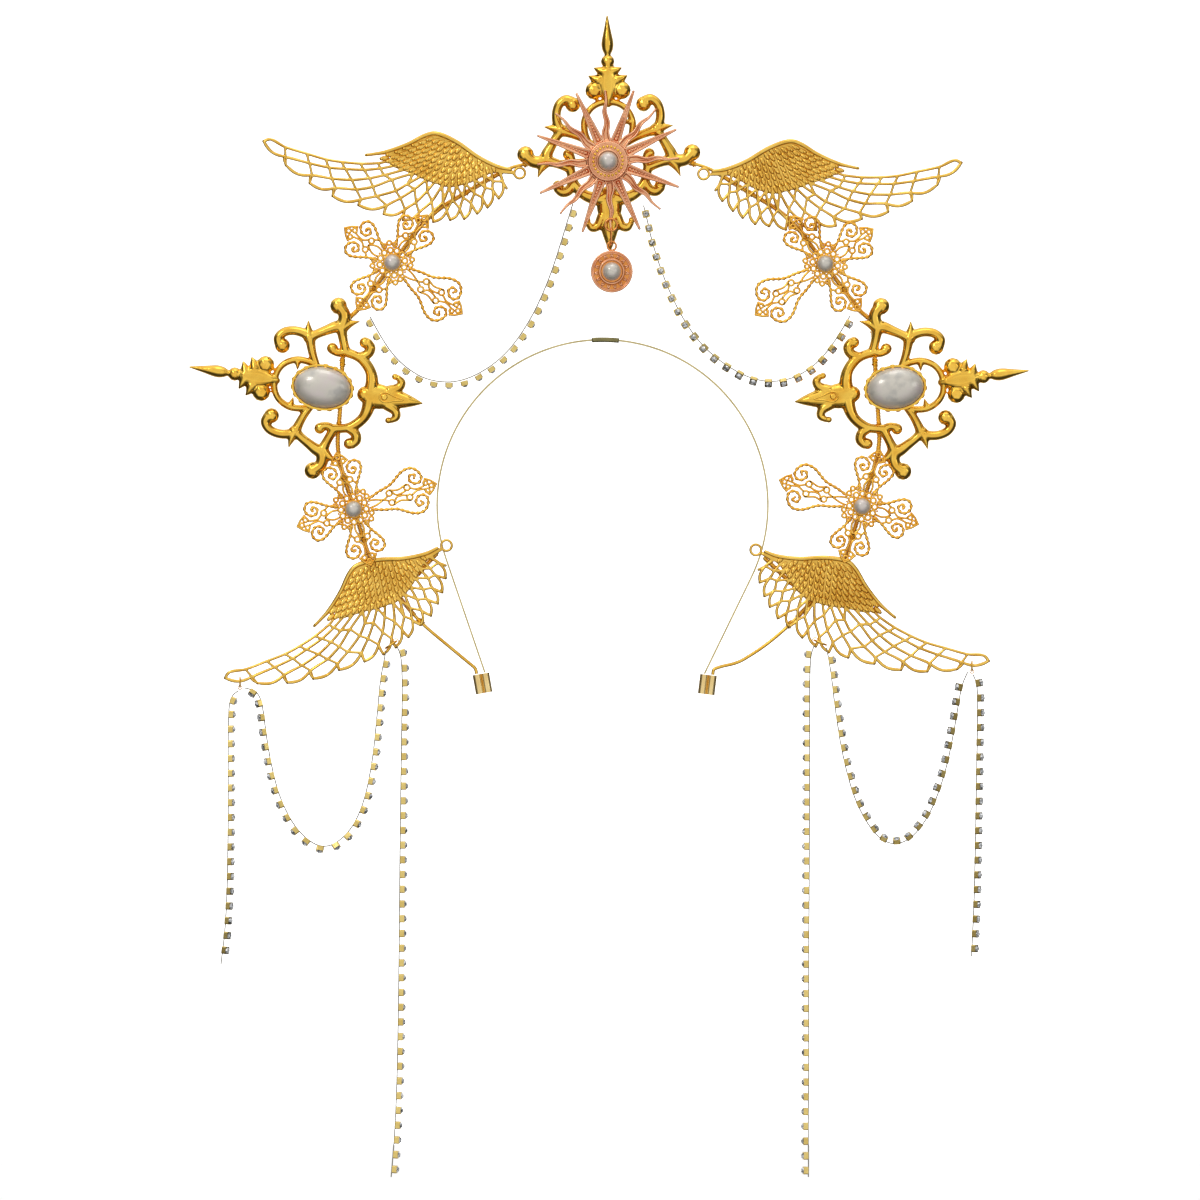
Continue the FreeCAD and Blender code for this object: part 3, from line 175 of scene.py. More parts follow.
def thread(name):
    """One chain's thread, a cord on the route that its CAD solid has."""
    first_y, last_y, length, far_end = CHAINS[name]
    route = ROUTES[name]
    curve = bpy.data.curves.new(name + "_cord", "CURVE")
    curve.dimensions = "3D"
    spline = curve.splines.new("NURBS")
    spline.points.add(len(route) - 1)
    for number, (x, z) in enumerate(route):
        y = first_y + (last_y - first_y) * number / (len(route) - 1)
        spline.points[number].co = (x, y, z, 1)
    spline.order_u = 3
    spline.use_endpoint_u = True
    curve.bevel_depth = THREAD_DIAMETER / 2
    curve.bevel_resolution = 2
    curve.resolution_u = 12
    curve.use_fill_caps = True
    curve.materials.append(THREAD)
    cord = placed(name + "_cord", curve)
    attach(cord, name)
    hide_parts(name + "_thread")


def stage():
    """A pale floor that runs up into a round wall on all sides, wide enough for the camera at every
    pose. The metal doesn't reflect it."""
    floor_z, middle, reach, bend, wall_top = -0.31, 0.4, 7.0, 0.8, 7.0
    steps, sides = 12, 96
    profile = [(middle, floor_z), (reach - bend, floor_z)]
    for step in range(1, steps + 1):
        angle = math.pi / 2 * step / steps
        profile.append((reach - bend + bend * math.sin(angle), floor_z + bend - bend * math.cos(angle)))
    profile.append((reach, wall_top))
    verts = [(r * math.cos(TURN * k / sides), r * math.sin(TURN * k / sides), z)
             for r, z in profile for k in range(sides)]
    faces = [(a + k, a + (k + 1) % sides, a + sides + (k + 1) % sides, a + sides + k)
             for a in range(0, len(verts) - sides, sides) for k in range(sides)]
    faces.append(tuple(range(sides)))
    mesh = bpy.data.meshes.new("floor")
    mesh.from_pydata(verts, [], faces)
    mesh.polygons.foreach_set("use_smooth", [True] * len(faces))
    mesh.materials.append(FLOOR)
    floor = placed("floor", mesh)
    floor.visible_glossy = floor.visible_diffuse = floor.visible_shadow = False


# Each light's place and aim in metres, its size, power and colour.
LIGHTS = {
    "key": ((-1.3, -1.7, 1.5), (0, 0, 0.05), 0.6, 7.0, (1.0, 0.99, 0.97)),
    "side": ((1.7, -1.2, 0.5), (0, 0, 0.0), 0.7, 2.0, (0.97, 0.99, 1.0)),
    "top": ((0.1, -0.3, 1.9), (0, 0, 0.0), 0.8, 3.0, (1.0, 1.0, 1.0)),
}


def lights():
    for name, (place, aim, size, power, colour) in LIGHTS.items():
        data = bpy.data.lights.new(name, "AREA")
        data.shape, data.size, data.energy, data.color = "SQUARE", size, power, colour
        light = placed(name, data)
        light.location = place
        light.rotation_euler = (Vector(aim) - Vector(place)).to_track_quat("-Z", "Y").to_euler()


def studio_world():
    """Light all round, with darker bands off the camera's axis that draw the edges of the metal."""
    world = bpy.data.worlds.new("studio")
    bpy.context.scene.world = world
    world.use_nodes = True
    graph = Graph(world.node_tree)
    place = graph.add("ShaderNodeTexCoord").outputs["Generated"]
    parts = graph.add("ShaderNodeSeparateXYZ", Vector=place)
    front = graph.ramp(graph.math("MULTIPLY_ADD", parts.outputs["Y"], 0.5, 0.5),
                       [(0.0, 0.62), (0.09, 0.74), (0.20, 0.30), (0.34, 0.06), (0.50, 0.03), (0.80, 0.07),
                        (0.94, 0.7)])
    height = graph.ramp(graph.math("MULTIPLY_ADD", parts.outputs["Z"], 0.5, 0.5),
                        [(0.0, 0.0), (0.45, 0.01), (0.72, 0.12), (0.92, 0.85)])
    light = graph.math("MAXIMUM", front, height)
    background = graph.add("ShaderNodeBackground", Color=light, Strength=1.4)
    graph.add("ShaderNodeOutputWorld", Surface=background.outputs[0])


# ---------------------------------------------------------------- materials
class Graph:
    """Short calls for building a shader's nodes."""

    def __init__(self, tree):
        self.tree = tree
        tree.nodes.clear()

    def feed(self, socket, value):
        """Gives a socket a link from another socket, or a constant."""
        if isinstance(value, bpy.types.NodeSocket):
            self.tree.links.new(value, socket)
        else:
            socket.default_value = value

    def add(self, kind, settings=None, **sockets):
        node = self.tree.nodes.new(kind)
        for key, value in (settings or {}).items():
            setattr(node, key, value)
        for key, value in sockets.items():
            self.feed(node.inputs[key.replace("_", " ")], value)
        return node

    def math(self, operation, *values):
        node = self.add("ShaderNodeMath", {"operation": operation})
        for socket, value in zip(node.inputs, values):
            self.feed(socket, value)
        return node.outputs[0]

    def ramp(self, value, stops):
        node = self.tree.nodes.new("ShaderNodeValToRGB")
        self.tree.links.new(value, node.inputs[0])
        elements = node.color_ramp.elements
        while len(elements) < len(stops):
            elements.new(0.5)
        for element, (place, colour) in zip(elements, stops):
            element.position = place
            element.color = (colour,) * 3 + (1,) if isinstance(colour, float) else colour + (1,)
        return node.outputs["Color"]

    def noise(self, scale, detail=3.0):
        place = self.add("ShaderNodeTexCoord").outputs["Object"]
        return self.add("ShaderNodeTexNoise", Vector=place, Scale=scale, Detail=detail).outputs["Fac"]


def material(name):
    made = bpy.data.materials.new(name)
    made.use_nodes = True
    return made, Graph(made.node_tree)


def surface(graph, **sockets):
    """The one shader of a material, and its output."""
    shader = graph.add("ShaderNodeBsdfPrincipled", **sockets)
    graph.add("ShaderNodeOutputMaterial", Surface=shader.outputs[0])


# The scale of a metal's patches of tone and of its skin, and the tint of the painted shade in its hollows.
PATCH, DULL_PATCH, GRAIN = 140.0, 434.0, 2600.0
HOLLOW_SHADE_TINT = (0.86, 0.80, 0.70, 1.0)


def metal(name, light, deep, roughness, grain_depth=0.03):
    """Plated metal: patches of deeper tone, painted shade that darkens its hollows, and the fine skin of
    its casting.
    """
    made, graph = material(name)
    tone = graph.ramp(graph.noise(PATCH), [(0.32, deep), (0.62, light)])
    # Pointiness finds the hollows; there the tone is multiplied darker as painted shade.
    edge = graph.ramp(graph.add("ShaderNodeNewGeometry").outputs["Pointiness"], [(0.42, 0.0), (0.58, 1.0)])
    hollow_shade = graph.add("ShaderNodeMix", {"data_type": "RGBA", "blend_type": "MULTIPLY"}, Factor=1.0, A=tone,
                       B=HOLLOW_SHADE_TINT)
    mixed = graph.add("ShaderNodeMix", {"data_type": "RGBA"}, Factor=edge, A=hollow_shade.outputs["Result"],
                      B=tone)
    low, high = roughness
    dull = graph.add("ShaderNodeMapRange", Value=graph.noise(DULL_PATCH), From_Min=0.3, From_Max=0.7,
                     To_Min=low, To_Max=high)
    skin = graph.add("ShaderNodeBump", Height=graph.noise(GRAIN, 2.0), Strength=grain_depth,
                     Distance=0.0004)
    surface(graph, Base_Color=mixed.outputs["Result"], Metallic=1.0, Roughness=dull.outputs[0],
            Normal=skin.outputs[0])
    return made


def pearl_material():
    """Pearl: cream nacre with soft clouds of grey and rose, under a clear glossy skin."""
    made, graph = material("pearl")
    clouds = graph.ramp(graph.noise(170.0, 4.0), [(0.28, (0.44, 0.42, 0.38)), (0.48, (0.62, 0.58, 0.50)),
                                                  (0.68, (0.64, 0.56, 0.53))])
    skin = graph.add("ShaderNodeBump", Height=graph.noise(900.0, 3.0), Strength=0.03, Distance=0.0003)
    surface(graph, Base_Color=clouds, Metallic=0.25, Roughness=0.32, Coat_Weight=1.0, Coat_Roughness=0.06,
            Sheen_Weight=0.35, Sheen_Roughness=0.35, Sheen_Tint=(1.0, 0.88, 0.90, 1), IOR=1.6,
            Normal=skin.outputs[0])
    return made


def crystal_material():
    """Cut crystal: facets painted bright, grey or dark at random, as painted glints and painted shade in
    place of the light that each one catches.
    """
    made, graph = material("crystal")
    place = graph.add("ShaderNodeTexCoord").outputs["Object"]
    facets = graph.add("ShaderNodeTexVoronoi", Vector=place, Scale=1150.0)
    # Painted glints and painted shade: each facet's base colour is dark, grey or bright at random.
    tone = graph.ramp(facets.outputs["Color"], [(0.15, (0.10, 0.11, 0.12)), (0.4, (0.55, 0.58, 0.6)),
                                                (0.62, (0.95, 0.97, 1.0))])
    cut = graph.add("ShaderNodeBump", Height=facets.outputs["Distance"], Strength=0.9, Distance=0.0006)
    surface(graph, Base_Color=tone, Metallic=0.35, Roughness=0.04, Transmission_Weight=0.35, IOR=1.9,
            Normal=cut.outputs[0])
    return made


def floor_material():
    made, graph = material("floor")
    tone = graph.ramp(graph.noise(6.0), [(0.3, (0.90, 0.90, 0.90)), (0.7, (0.93, 0.93, 0.93))])
    surface(graph, Base_Color=tone, Roughness=0.85, Emission_Color=(1, 1, 1, 1), Emission_Strength=1.0)
    return made


CAST = metal("cast_gold", (0.96, 0.62, 0.10), (0.86, 0.48, 0.06), (0.08, 0.18))
FILIGREE = metal("filigree_gold", (0.96, 0.55, 0.09), (0.82, 0.38, 0.04), (0.14, 0.26))
WING = metal("wing_gold", (0.92, 0.60, 0.13), (0.76, 0.44, 0.07), (0.12, 0.24))
WIRE = metal("wire_gold", (0.93, 0.60, 0.12), (0.82, 0.46, 0.06), (0.12, 0.24))
WRAP = metal("wrap_gold", (0.97, 0.58, 0.05), (0.90, 0.44, 0.03), (0.12, 0.24))
ROSE = metal("rose_gold", (0.92, 0.50, 0.29), (0.76, 0.34, 0.18), (0.16, 0.28), grain_depth=0.01)
COPPER = metal("copper_gold", (0.92, 0.42, 0.13), (0.78, 0.29, 0.07), (0.14, 0.26))
HOOP = metal("hoop_gold", (0.62, 0.52, 0.26), (0.50, 0.41, 0.18), (0.26, 0.40))
SLEEVE = metal("hoop_sleeve", (0.30, 0.27, 0.12), (0.20, 0.18, 0.08), (0.30, 0.45))
SATIN = metal("ferrule_gold", (0.88, 0.68, 0.32), (0.80, 0.58, 0.24), (0.18, 0.30))
BRASS = metal("cup_brass", (0.80, 0.62, 0.22), (0.66, 0.48, 0.14), (0.16, 0.30))
THREAD = metal("thread_metal", (0.34, 0.32, 0.26), (0.22, 0.20, 0.16), (0.25, 0.40))
PEARL = pearl_material()
CRYSTAL = crystal_material()
FLOOR = floor_material()

camera()
for chain in CHAINS:
    thread(chain)
stage()
lights()
studio_world()


# ---------------------------------------------------------------- mesh tools
def in_plane(place, mirrored=False):
    """A function from points in a piece's own plane, and a depth, to points in the crown's frame."""
    x, z, degrees = place
    cos, sin = math.cos(math.radians(degrees)), math.sin(math.radians(degrees))

    def put(points, depth):
        p = np.atleast_2d(np.asarray(points, float))
        a, b = p[:, 0], p[:, 1]
        across = a * cos - b * sin
        return np.column_stack([x - across if mirrored else x + across, np.broadcast_to(depth, a.shape),
                                z + a * sin + b * cos])
    return put


def smooth(points, step, closed=False):
    """Points about a step apart along a smooth curve through the given ones."""
    p = np.array(points, float)
    if closed:
        p = np.vstack([p[-1], p, p[0], p[1]])
    else:
        p = np.vstack([2 * p[0] - p[1], p, 2 * p[-1] - p[-2]])
    t = np.linspace(0, 1, 12, endpoint=False)[:, None]
    runs = [0.5 * (2 * b + (c - a) * t + (2 * a - 5 * b + 4 * c - d) * t ** 2
                   + (3 * b - a - 3 * c + d) * t ** 3)
            for a, b, c, d in zip(p, p[1:], p[2:], p[3:])]
    return even(np.vstack(runs + [p[-2][None]]), step, closed)


def steps_along(line):
    """How far along a polyline each of its points lies."""
    return np.r_[0, np.cumsum(np.linalg.norm(np.diff(line, axis=0), axis=1))]


def even(line, step, closed=False):
    """A polyline's points, spaced evenly."""
    line = np.asarray(line, float)
    gone = steps_along(line)
    places = np.linspace(0, gone[-1], max(2, int(round(gone[-1] / step)) + 1))
    result = np.column_stack([np.interp(places, gone, line[:, k]) for k in range(line.shape[1])])
    return result[:-1] if closed else result


def circle(radius, count, centre=(0.0, 0.0)):
    angles = np.arange(count) * TURN / count
    return np.column_stack([centre[0] + radius * np.cos(angles), centre[1] + radius * np.sin(angles)])


def polar(reach, angle):
    return reach * np.array([math.cos(angle), math.sin(angle)])


def heading(angle):
    """The direction at an angle in a plane, and the direction across it."""
    return polar(1.0, angle), polar(1.0, angle + TURN / 4)


def unit_ball():
    """The vertices and faces of a ball of radius 1."""
    ball = bmesh.new()
    bmesh.ops.create_icosphere(ball, subdivisions=2, radius=1.0)
    ball.verts.index_update()
    verts = np.array([v.co for v in ball.verts])
    faces = [[v.index for v in face.verts] for face in ball.faces]
    ball.free()
    return verts, faces


BALL = unit_ball()
# The ways out of the crown's front and out of its back.
OUT = np.array([0.0, -1.0, 0.0])
BACK = np.array([0.0, 1.0, 0.0])


class Shape:
    """The closed shells of one piece, in millimetres."""

    def __init__(self):
        self.verts, self.faces, self.count = [], [], 0

    def add(self, verts, faces):
        self.faces += [[i + self.count for i in face] for face in faces]
        self.verts.append(np.asarray(verts, float))
        self.count += len(verts)

    def tube(self, path, radius, sides, closed=False, twist=None, flatten=1.0):
        """A wire along a path. twist is (strands, pitch, depth) of a rope's lay."""
        path = np.asarray(path, float)
        count = len(path)
        tangent = np.roll(path, -1, 0) - np.roll(path, 1, 0) if closed else np.gradient(path, axis=0)
        tangent /= np.linalg.norm(tangent, axis=1)[:, None]
        normal = np.empty_like(path)
        start = np.cross(tangent[0], (0, 1, 0))
        if np.linalg.norm(start) < 0.2:
            start = np.cross(tangent[0], (1, 0, 0))
        normal[0] = start / np.linalg.norm(start)
        for i in range(1, count):
            flat = normal[i - 1] - tangent[i] * (normal[i - 1] @ tangent[i])
            normal[i] = flat / np.linalg.norm(flat)
        other = np.cross(tangent, normal) * np.reshape(flatten, (-1, 1))
        around = np.arange(sides) * TURN / sides
        reach = np.broadcast_to(np.asarray(radius, float).reshape(-1, 1), (count, sides)).copy()
        if twist:
            strands, pitch, depth = twist
            reach *= 1 + depth * np.cos(strands * around[None] - TURN * steps_along(path)[:, None] / pitch)
        rings = (path[:, None] + reach[..., None] * (np.cos(around)[None, :, None] * normal[:, None]
                                                     + np.sin(around)[None, :, None] * other[:, None]))
        faces = []
        for i in range(count if closed else count - 1):
            a, b = i * sides, (i + 1) % count * sides
            faces += [(a + k, a + (k + 1) % sides, b + (k + 1) % sides, b + k) for k in range(sides)]
        if not closed:
            faces += [tuple(range(sides))[::-1], tuple(range((count - 1) * sides, count * sides))]
        self.add(rings.reshape(-1, 3), faces)

    def ball(self, centre, axes):
        """An ellipsoid; axes are its three half axes as vectors."""
        verts, faces = BALL
        self.add(verts @ np.asarray(axes, float) + np.asarray(centre, float), faces)

    def bead(self, centre, radius, depth=None):
        """A ball, or a flattened one if its depth is given; both are half sizes."""
        self.ball(centre, np.diag([radius, depth or radius, radius]))

    def lathe(self, profile, centre, sides):
        """A turned shape about -Y: profile is (radius, depth) from its back to its front."""
        profile = np.asarray(profile, float)
        around = np.arange(sides) * TURN / sides
        rings = np.stack([np.stack([centre[0] + r * np.cos(around), np.full(sides, y),
                                    centre[1] + r * np.sin(around)], 1) for r, y in profile])
        faces = []
        for i in range(len(profile) - 1):
            a, b = i * sides, (i + 1) * sides
            faces += [(a + k, b + k, b + (k + 1) % sides, a + (k + 1) % sides) for k in range(sides)]
        faces += [tuple(range(sides)), tuple(range((len(profile) - 1) * sides, len(profile) * sides))[::-1]]
        self.add(rings.reshape(-1, 3), faces)


def declare(name, mesh, body, replaced=()):
    """Puts a piece in the scene on its body, and hides the CAD nodes it stands for."""
    obj = placed(name, mesh)
    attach(obj, body)
    if replaced:
        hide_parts(*replaced)


def piece(shape, name, finish_of, body, replaced=()):
    """A piece from a shape's shells."""
    mesh = bpy.data.meshes.new(name)
    mesh.from_pydata((np.vstack(shape.verts) * MM).tolist(), [], shape.faces)
    mesh.polygons.foreach_set("use_smooth", [True] * len(mesh.polygons))
    mesh.materials.append(finish_of)
    mesh.update()
    declare(name, mesh, body, replaced)


def joined(node):
    """A CAD node's mesh to work on, with its split vertices joined."""
    work = bmesh.new()
    work.from_mesh(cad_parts[node].data)
    bmesh.ops.remove_doubles(work, verts=work.verts, dist=1e-6)
    return work


def front_outline(work):
    """Points along the edges where a flat piece's front meets its sides."""
    work.normal_update()
    points = []
    for edge in work.edges:
        if len(edge.link_faces) != 2:
            continue
        low, high = sorted(face.normal.y for face in edge.link_faces)
        if low < -0.9 and high > -0.5:
            a, b = (v.co for v in edge.verts)
            steps = int((b - a).length / (0.2 * MM)) + 1
            points += [a.lerp(b, step / steps) for step in range(steps + 1)]
    return points


def cast(node, voxel, shaped, finish_of, source=None):
    """A cast piece in the place of a flat CAD node, run together from the node's own mesh or from a
    source mesh. shaped takes each vertex and its distance from the node's front outline, in
    millimetres, and gives the vertex's new depth."""
    work = joined(node)
    outline = front_outline(work)
    mesh = source
    if mesh is None:
        mesh = bpy.data.meshes.new(node + "_closed")
        work.to_mesh(mesh)
    work.free()
    tree = KDTree(len(outline))
    for number, point in enumerate(outline):
        tree.insert((point.x, 0, point.z), number)
    tree.balance()
    rough = placed(node + "_rough", mesh)
    remesh = rough.modifiers.new("remesh", "REMESH")
    remesh.mode, remesh.voxel_size, remesh.adaptivity = "VOXEL", voxel * MM, 0.0
    relax = rough.modifiers.new("relax", "SMOOTH")
    relax.factor, relax.iterations = 0.5, 2
    graph = bpy.context.evaluated_depsgraph_get()
    result = bpy.data.meshes.new_from_object(rough.evaluated_get(graph))
    bpy.data.objects.remove(rough)
    count = len(result.vertices)
    co = np.empty(count * 3, np.float32)
    result.vertices.foreach_get("co", co)
    co = co.reshape(-1, 3).astype(float)
    away = np.array([tree.find((x, 0, z))[2] for x, _, z in co]) / MM
    co[:, 1] = shaped(co / MM, away) * MM
    low, high = np.array(cad_box)
    co = np.clip(co, low + 1e-5, high - 1e-5)
    result.vertices.foreach_set("co", co.astype(np.float32).ravel())
    result.polygons.foreach_set("use_smooth", [True] * len(result.polygons))
    result.materials.clear()
    result.materials.append(finish_of)
    result.update()
    result.name = node + "_cast"
    declare(result.name, result, "crown", (node,))


def rounded(distance, reach):
    """The height of a round edge, from 0 on the outline to 1 at its reach."""
    near = 1 - np.clip(distance / reach, 0, 1)
    return np.sqrt(np.maximum(0, 1 - near ** 2))


# ---------------------------------------------------------------- wings
def wing_depth(co, away):
    """Round bars on both faces, and a covert panel a little lower than they are."""
    bar = 0.42 + 0.58 * rounded(away, 0.6)
    panel = np.clip((away - 0.9) / 0.8, 0, 1)
    return WING_MIDDLE + (co[:, 1] - WING_MIDDLE) * bar * (1 - 0.30 * panel)


def covert_scales(shape, put):
    """Rows of small knobbed feathers over the covert, laid like tiles from its foot up."""
    rows, rise, spacing = 7, 2.75, 2.65
    roots = np.array(ROOTS)
    foot = smooth(roots[:, :2], 0.4)
    lean = np.interp(np.linspace(0, 1, len(foot)), np.linspace(0, 1, len(roots)), roots[:, 2])
    top = smooth(ROD, 0.4)
    for row in range(rows):
        line = foot + np.array([0.10, 1.0]) * (1.4 + rise * row)
        ceiling = np.interp(line[:, 0], top[:, 0], top[:, 1]) - 1.3
        first, last = 9.0 + 1.8 * row if row else 11.5, 59.5 - 0.8 * row
        room = (line[:, 1] < ceiling) & (line[:, 0] > first) & (line[:, 0] < last)
        spots = np.flatnonzero(room)
        if not len(spots):
            continue
        kept = line[spots]
        travelled = steps_along(kept)
        for number in range(int(travelled[-1] / spacing) + 1):
            where = (number + row % 2 / 2) * spacing
            if where > travelled[-1]:
                continue
            spot = spots[int(np.searchsorted(travelled, where).clip(0, len(spots) - 1))]
            angle = math.radians(lean[spot] + 4.0 * row)
            scale_feather(shape, put, line[spot], angle)


def scale_feather(shape, put, spot, angle):
    """One small feather: a long dome that rises to a knob at its free end."""
    along, side = heading(angle)
    base = put(spot, COVERT_FACE)[0]
    lengthwise = put(spot + along, COVERT_FACE)[0] - base
    across = put(spot + side, COVERT_FACE)[0] - base
    shape.ball(base, [lengthwise * 2.3 + OUT * 0.30, OUT * 0.75, across * 1.12])
    shape.ball(base + lengthwise * 1.2 + OUT * 0.30, [lengthwise * 0.95, OUT * 0.80, across * 0.80])


def feather_bars(shape, put):
    """Round bars along every feather's edge, across between the feathers, and round their pointed ends."""
    flatten = 1.2

    def bar(points, thick=0.62):
        line = smooth(points, 0.8) if len(points) > 2 else even(points, 0.8)
        shape.tube(put(line, WING_MIDDLE), thick, 8, flatten=flatten)
        for end in (points[0], points[-1]):
            shape.bead(put(end, WING_MIDDLE)[0], thick, thick * flatten)

    for ahead, behind in zip(FEATHERS, FEATHERS[1:]):
        tip, notch = np.array(ahead[0]), np.array(behind[1])
        outward = np.array([tip[1] - notch[1], notch[0] - tip[0]])
        if outward[0] * 0.5 + outward[1] > 0:
            outward = -outward
        bulge = (tip + notch) / 2 + outward * 0.13
        bar([ahead[0], tuple(bulge), behind[1]])
        bar(ahead)
        for near, far in zip(ahead[2:], behind[1:-1]):
            bar([near, far], 0.52)
    bar(FEATHERS[-1])


def wing(name):
    *place, mirrored = WINGS[name]
    cast(name, 0.27, wing_depth, WING)
    put = in_plane(place, mirrored)
    details = Shape()
    rod = smooth(ROD, 0.8)
    gone = np.linspace(0, 1, len(rod))
    thick = np.interp(gone, [0, 0.08, 0.5, 0.85, 1.0], [0.7, 0.95, 1.1, 0.85, 0.6])
    depth = WING_MIDDLE - 0.45
    details.tube(put(rod, depth), thick, 12, flatten=1.15)
    details.bead(put(ROD[-1], depth)[0], 0.68)
    covert_scales(details, put)
    feather_bars(details, put)
    piece(details, name + "_covert", WING, "crown")


for label in WINGS:
    wing(label)


# ---------------------------------------------------------------- crosses
# Half of an arm in its own plane, along the arm and out from its line: the rope, the rings between the
# ropes with their radius, and the strands that join them. ROPE is a rope's strands, pitch and depth.
LONG_ROPE = [(7.2, 2.2), (9.6, 3.1), (13.0, 4.2), (18.4, 5.6), (24.2, 9.2), (28.4, 9.9), (31.1, 8.1),
             (32.2, 5.0), (30.8, 2.9), (28.4, 3.0), (26.8, 5.0), (27.8, 6.9), (29.6, 6.4), (29.0, 5.1)]
SHORT_ROPE = [(6.4, 3.3), (10.2, 4.6), (13.3, 6.7), (16.5, 8.4), (19.2, 8.1), (20.5, 5.6), (19.3, 3.2),
              (17.0, 2.5), (15.2, 4.1), (16.1, 5.9), (17.7, 5.4), (17.2, 4.4)]
LONG_RINGS = [(16.8, 2.1, 1.25), (24.9, 2.2, 1.25), (33.1, 1.7, 0.95), (35.3, 0.0, 0.95)]
SHORT_RINGS = [(12.9, 2.3, 1.2), (21.4, 1.7, 0.95), (23.5, 0.0, 0.95)]
LONG_STRANDS = [[(7.0, 1.6), (10.0, 1.2), (13.2, 0.1), (15.6, -0.9)],
                [(17.9, 2.6), (19.4, 0.6), (22.0, 0.5), (24.0, 1.1)],
                [(17.2, 3.3), (20.6, 2.4), (23.6, 3.2), (25.2, 3.6)],
                [(26.1, 1.6), (28.6, 0.4), (30.8, 0.5), (32.4, 0.9)]]
SHORT_STRANDS = [[(6.8, 1.6), (9.0, 1.9), (10.8, 1.4), (12.2, 0.6), (13.0, -0.4)],
                 [(14.1, 1.9), (16.0, 0.5), (18.2, 0.5), (20.6, 1.0)],
                 [(10.6, 4.4), (11.6, 3.7), (12.2, 3.4)]]
LONG_ARM, SHORT_ARM = 38.0, 26.0
ROPE = (2, 2.3, 0.26)
ROPE_WIRE, RING_WIRE = 0.66, 0.5


def cross_arm(shape, put, turn, long):
    """One arm: two ropes that end in scrolls, the strands and rings between them, and a pointed tip."""
    cos, sin = math.cos(turn), math.sin(turn)

    def lay(points):
        p = np.atleast_2d(np.asarray(points, float))
        turned = np.column_stack([p[:, 0] * cos - p[:, 1] * sin, p[:, 0] * sin + p[:, 1] * cos])
        return put(turned, CROSS_MIDDLE)

    if long:
        end, rope, rings, strands = LONG_ARM, LONG_ROPE, LONG_RINGS, LONG_STRANDS
    else:
        end, rope, rings, strands = SHORT_ARM, SHORT_ROPE, SHORT_RINGS, SHORT_STRANDS
    for sign in (1, -1):
        line = smooth([(a, b * sign) for a, b in rope], 0.24)
        shape.tube(lay(line), ROPE_WIRE, 8, twist=ROPE)
        shape.bead(lay(line[-1])[0], 0.62)
        for a, b, radius in rings:
            if b or sign > 0:
                shape.tube(lay(circle(radius, 14, (a, b * sign))), RING_WIRE, 6, closed=True)
        for strand in strands:
            shape.tube(lay(smooth([(a, b * sign) for a, b in strand], 0.7)), RING_WIRE, 6)
    corner = end - 4.6
    tip = [(corner - 1.2, 1.2), (corner, 3.6), (end - 2.6, 2.3), (end - 0.5, 0.0),
           (end - 2.6, -2.3), (corner, -3.6), (corner - 1.2, -1.2)]
    shape.tube(lay(even(tip, 0.5)), RING_WIRE, 8)
    for point in ((corner, 3.6), (corner, -3.6), (end - 0.5, 0.0)):
        shape.bead(lay(point)[0], 0.55)


def cross(name):
    """Four arms, small rings in the corners between them, and a seat of rings for the pearl."""
    put = in_plane(CROSSES[name])
    shape = Shape()
    for quarter in range(4):
        cross_arm(shape, put, TURN / 4 * quarter, quarter == 0)
        for offset in (-17, 0, 17):
            angle = math.radians(45 + 90 * quarter + offset)
            middle = polar(8.0 if offset else 8.7, angle)
            shape.tube(put(circle(0.95, 12, middle), CROSS_MIDDLE), RING_WIRE, 6, closed=True)
            shape.bead(put(middle * 1.12, CROSS_MIDDLE)[0], 0.5)
    rings = 12
    for number in range(rings):
        angle = TURN / rings * (number + 0.5)
        shape.tube(put(circle(1.15, 14, polar(5.5, angle)), CROSS_MIDDLE), RING_WIRE, 6, closed=True)
        shape.bead(put(polar(6.9, angle + TURN / rings / 2), CROSS_MIDDLE)[0], 0.5)
    shape.tube(put(circle(3.7, 44), CROSS_FRONT + 0.2), 0.42, 8, closed=True, twist=(2, 0.95, 0.17))
    shape.lathe([(3.1, -4.4), (3.5, -4.5), (3.6, -5.6), (2.9, -5.75)], CROSSES[name][:2], 32)
    piece(shape, name + "_filigree", FILIGREE, "crown", (name,))


for label in CROSSES:
    cross(label)


# ---------------------------------------------------------------- ornaments and bezels
# Strokes of half an ornament, in its own plane: along the axis, out from it, half width. Then the
# pointed leaves, and the bulbs: along, out, radius.
AXIS_STROKES = [
    [(-58.6, 0.0, 0.4), (-52.6, 0.0, 1.6), (-47.1, 0.0, 2.7), (-43.9, 0.0, 2.4), (-41.6, 0.0, 1.3)],
    [(-42.0, 0.0, 1.3), (-38.8, 0.0, 1.7), (-34.0, 0.0, 1.6)],
    [(-35.4, 0.0, 2.6), (-32.0, 0.0, 4.6), (-28.0, 0.0, 5.0), (-23.0, 0.0, 3.0), (-20.5, 0.0, 1.8)],
    [(18.6, 0.0, 3.8), (23.5, 0.0, 5.6), (29.0, 0.0, 4.8), (34.5, 0.0, 3.8), (39.5, 0.0, 2.2),
     (43.6, 0.0, 0.4)],
]
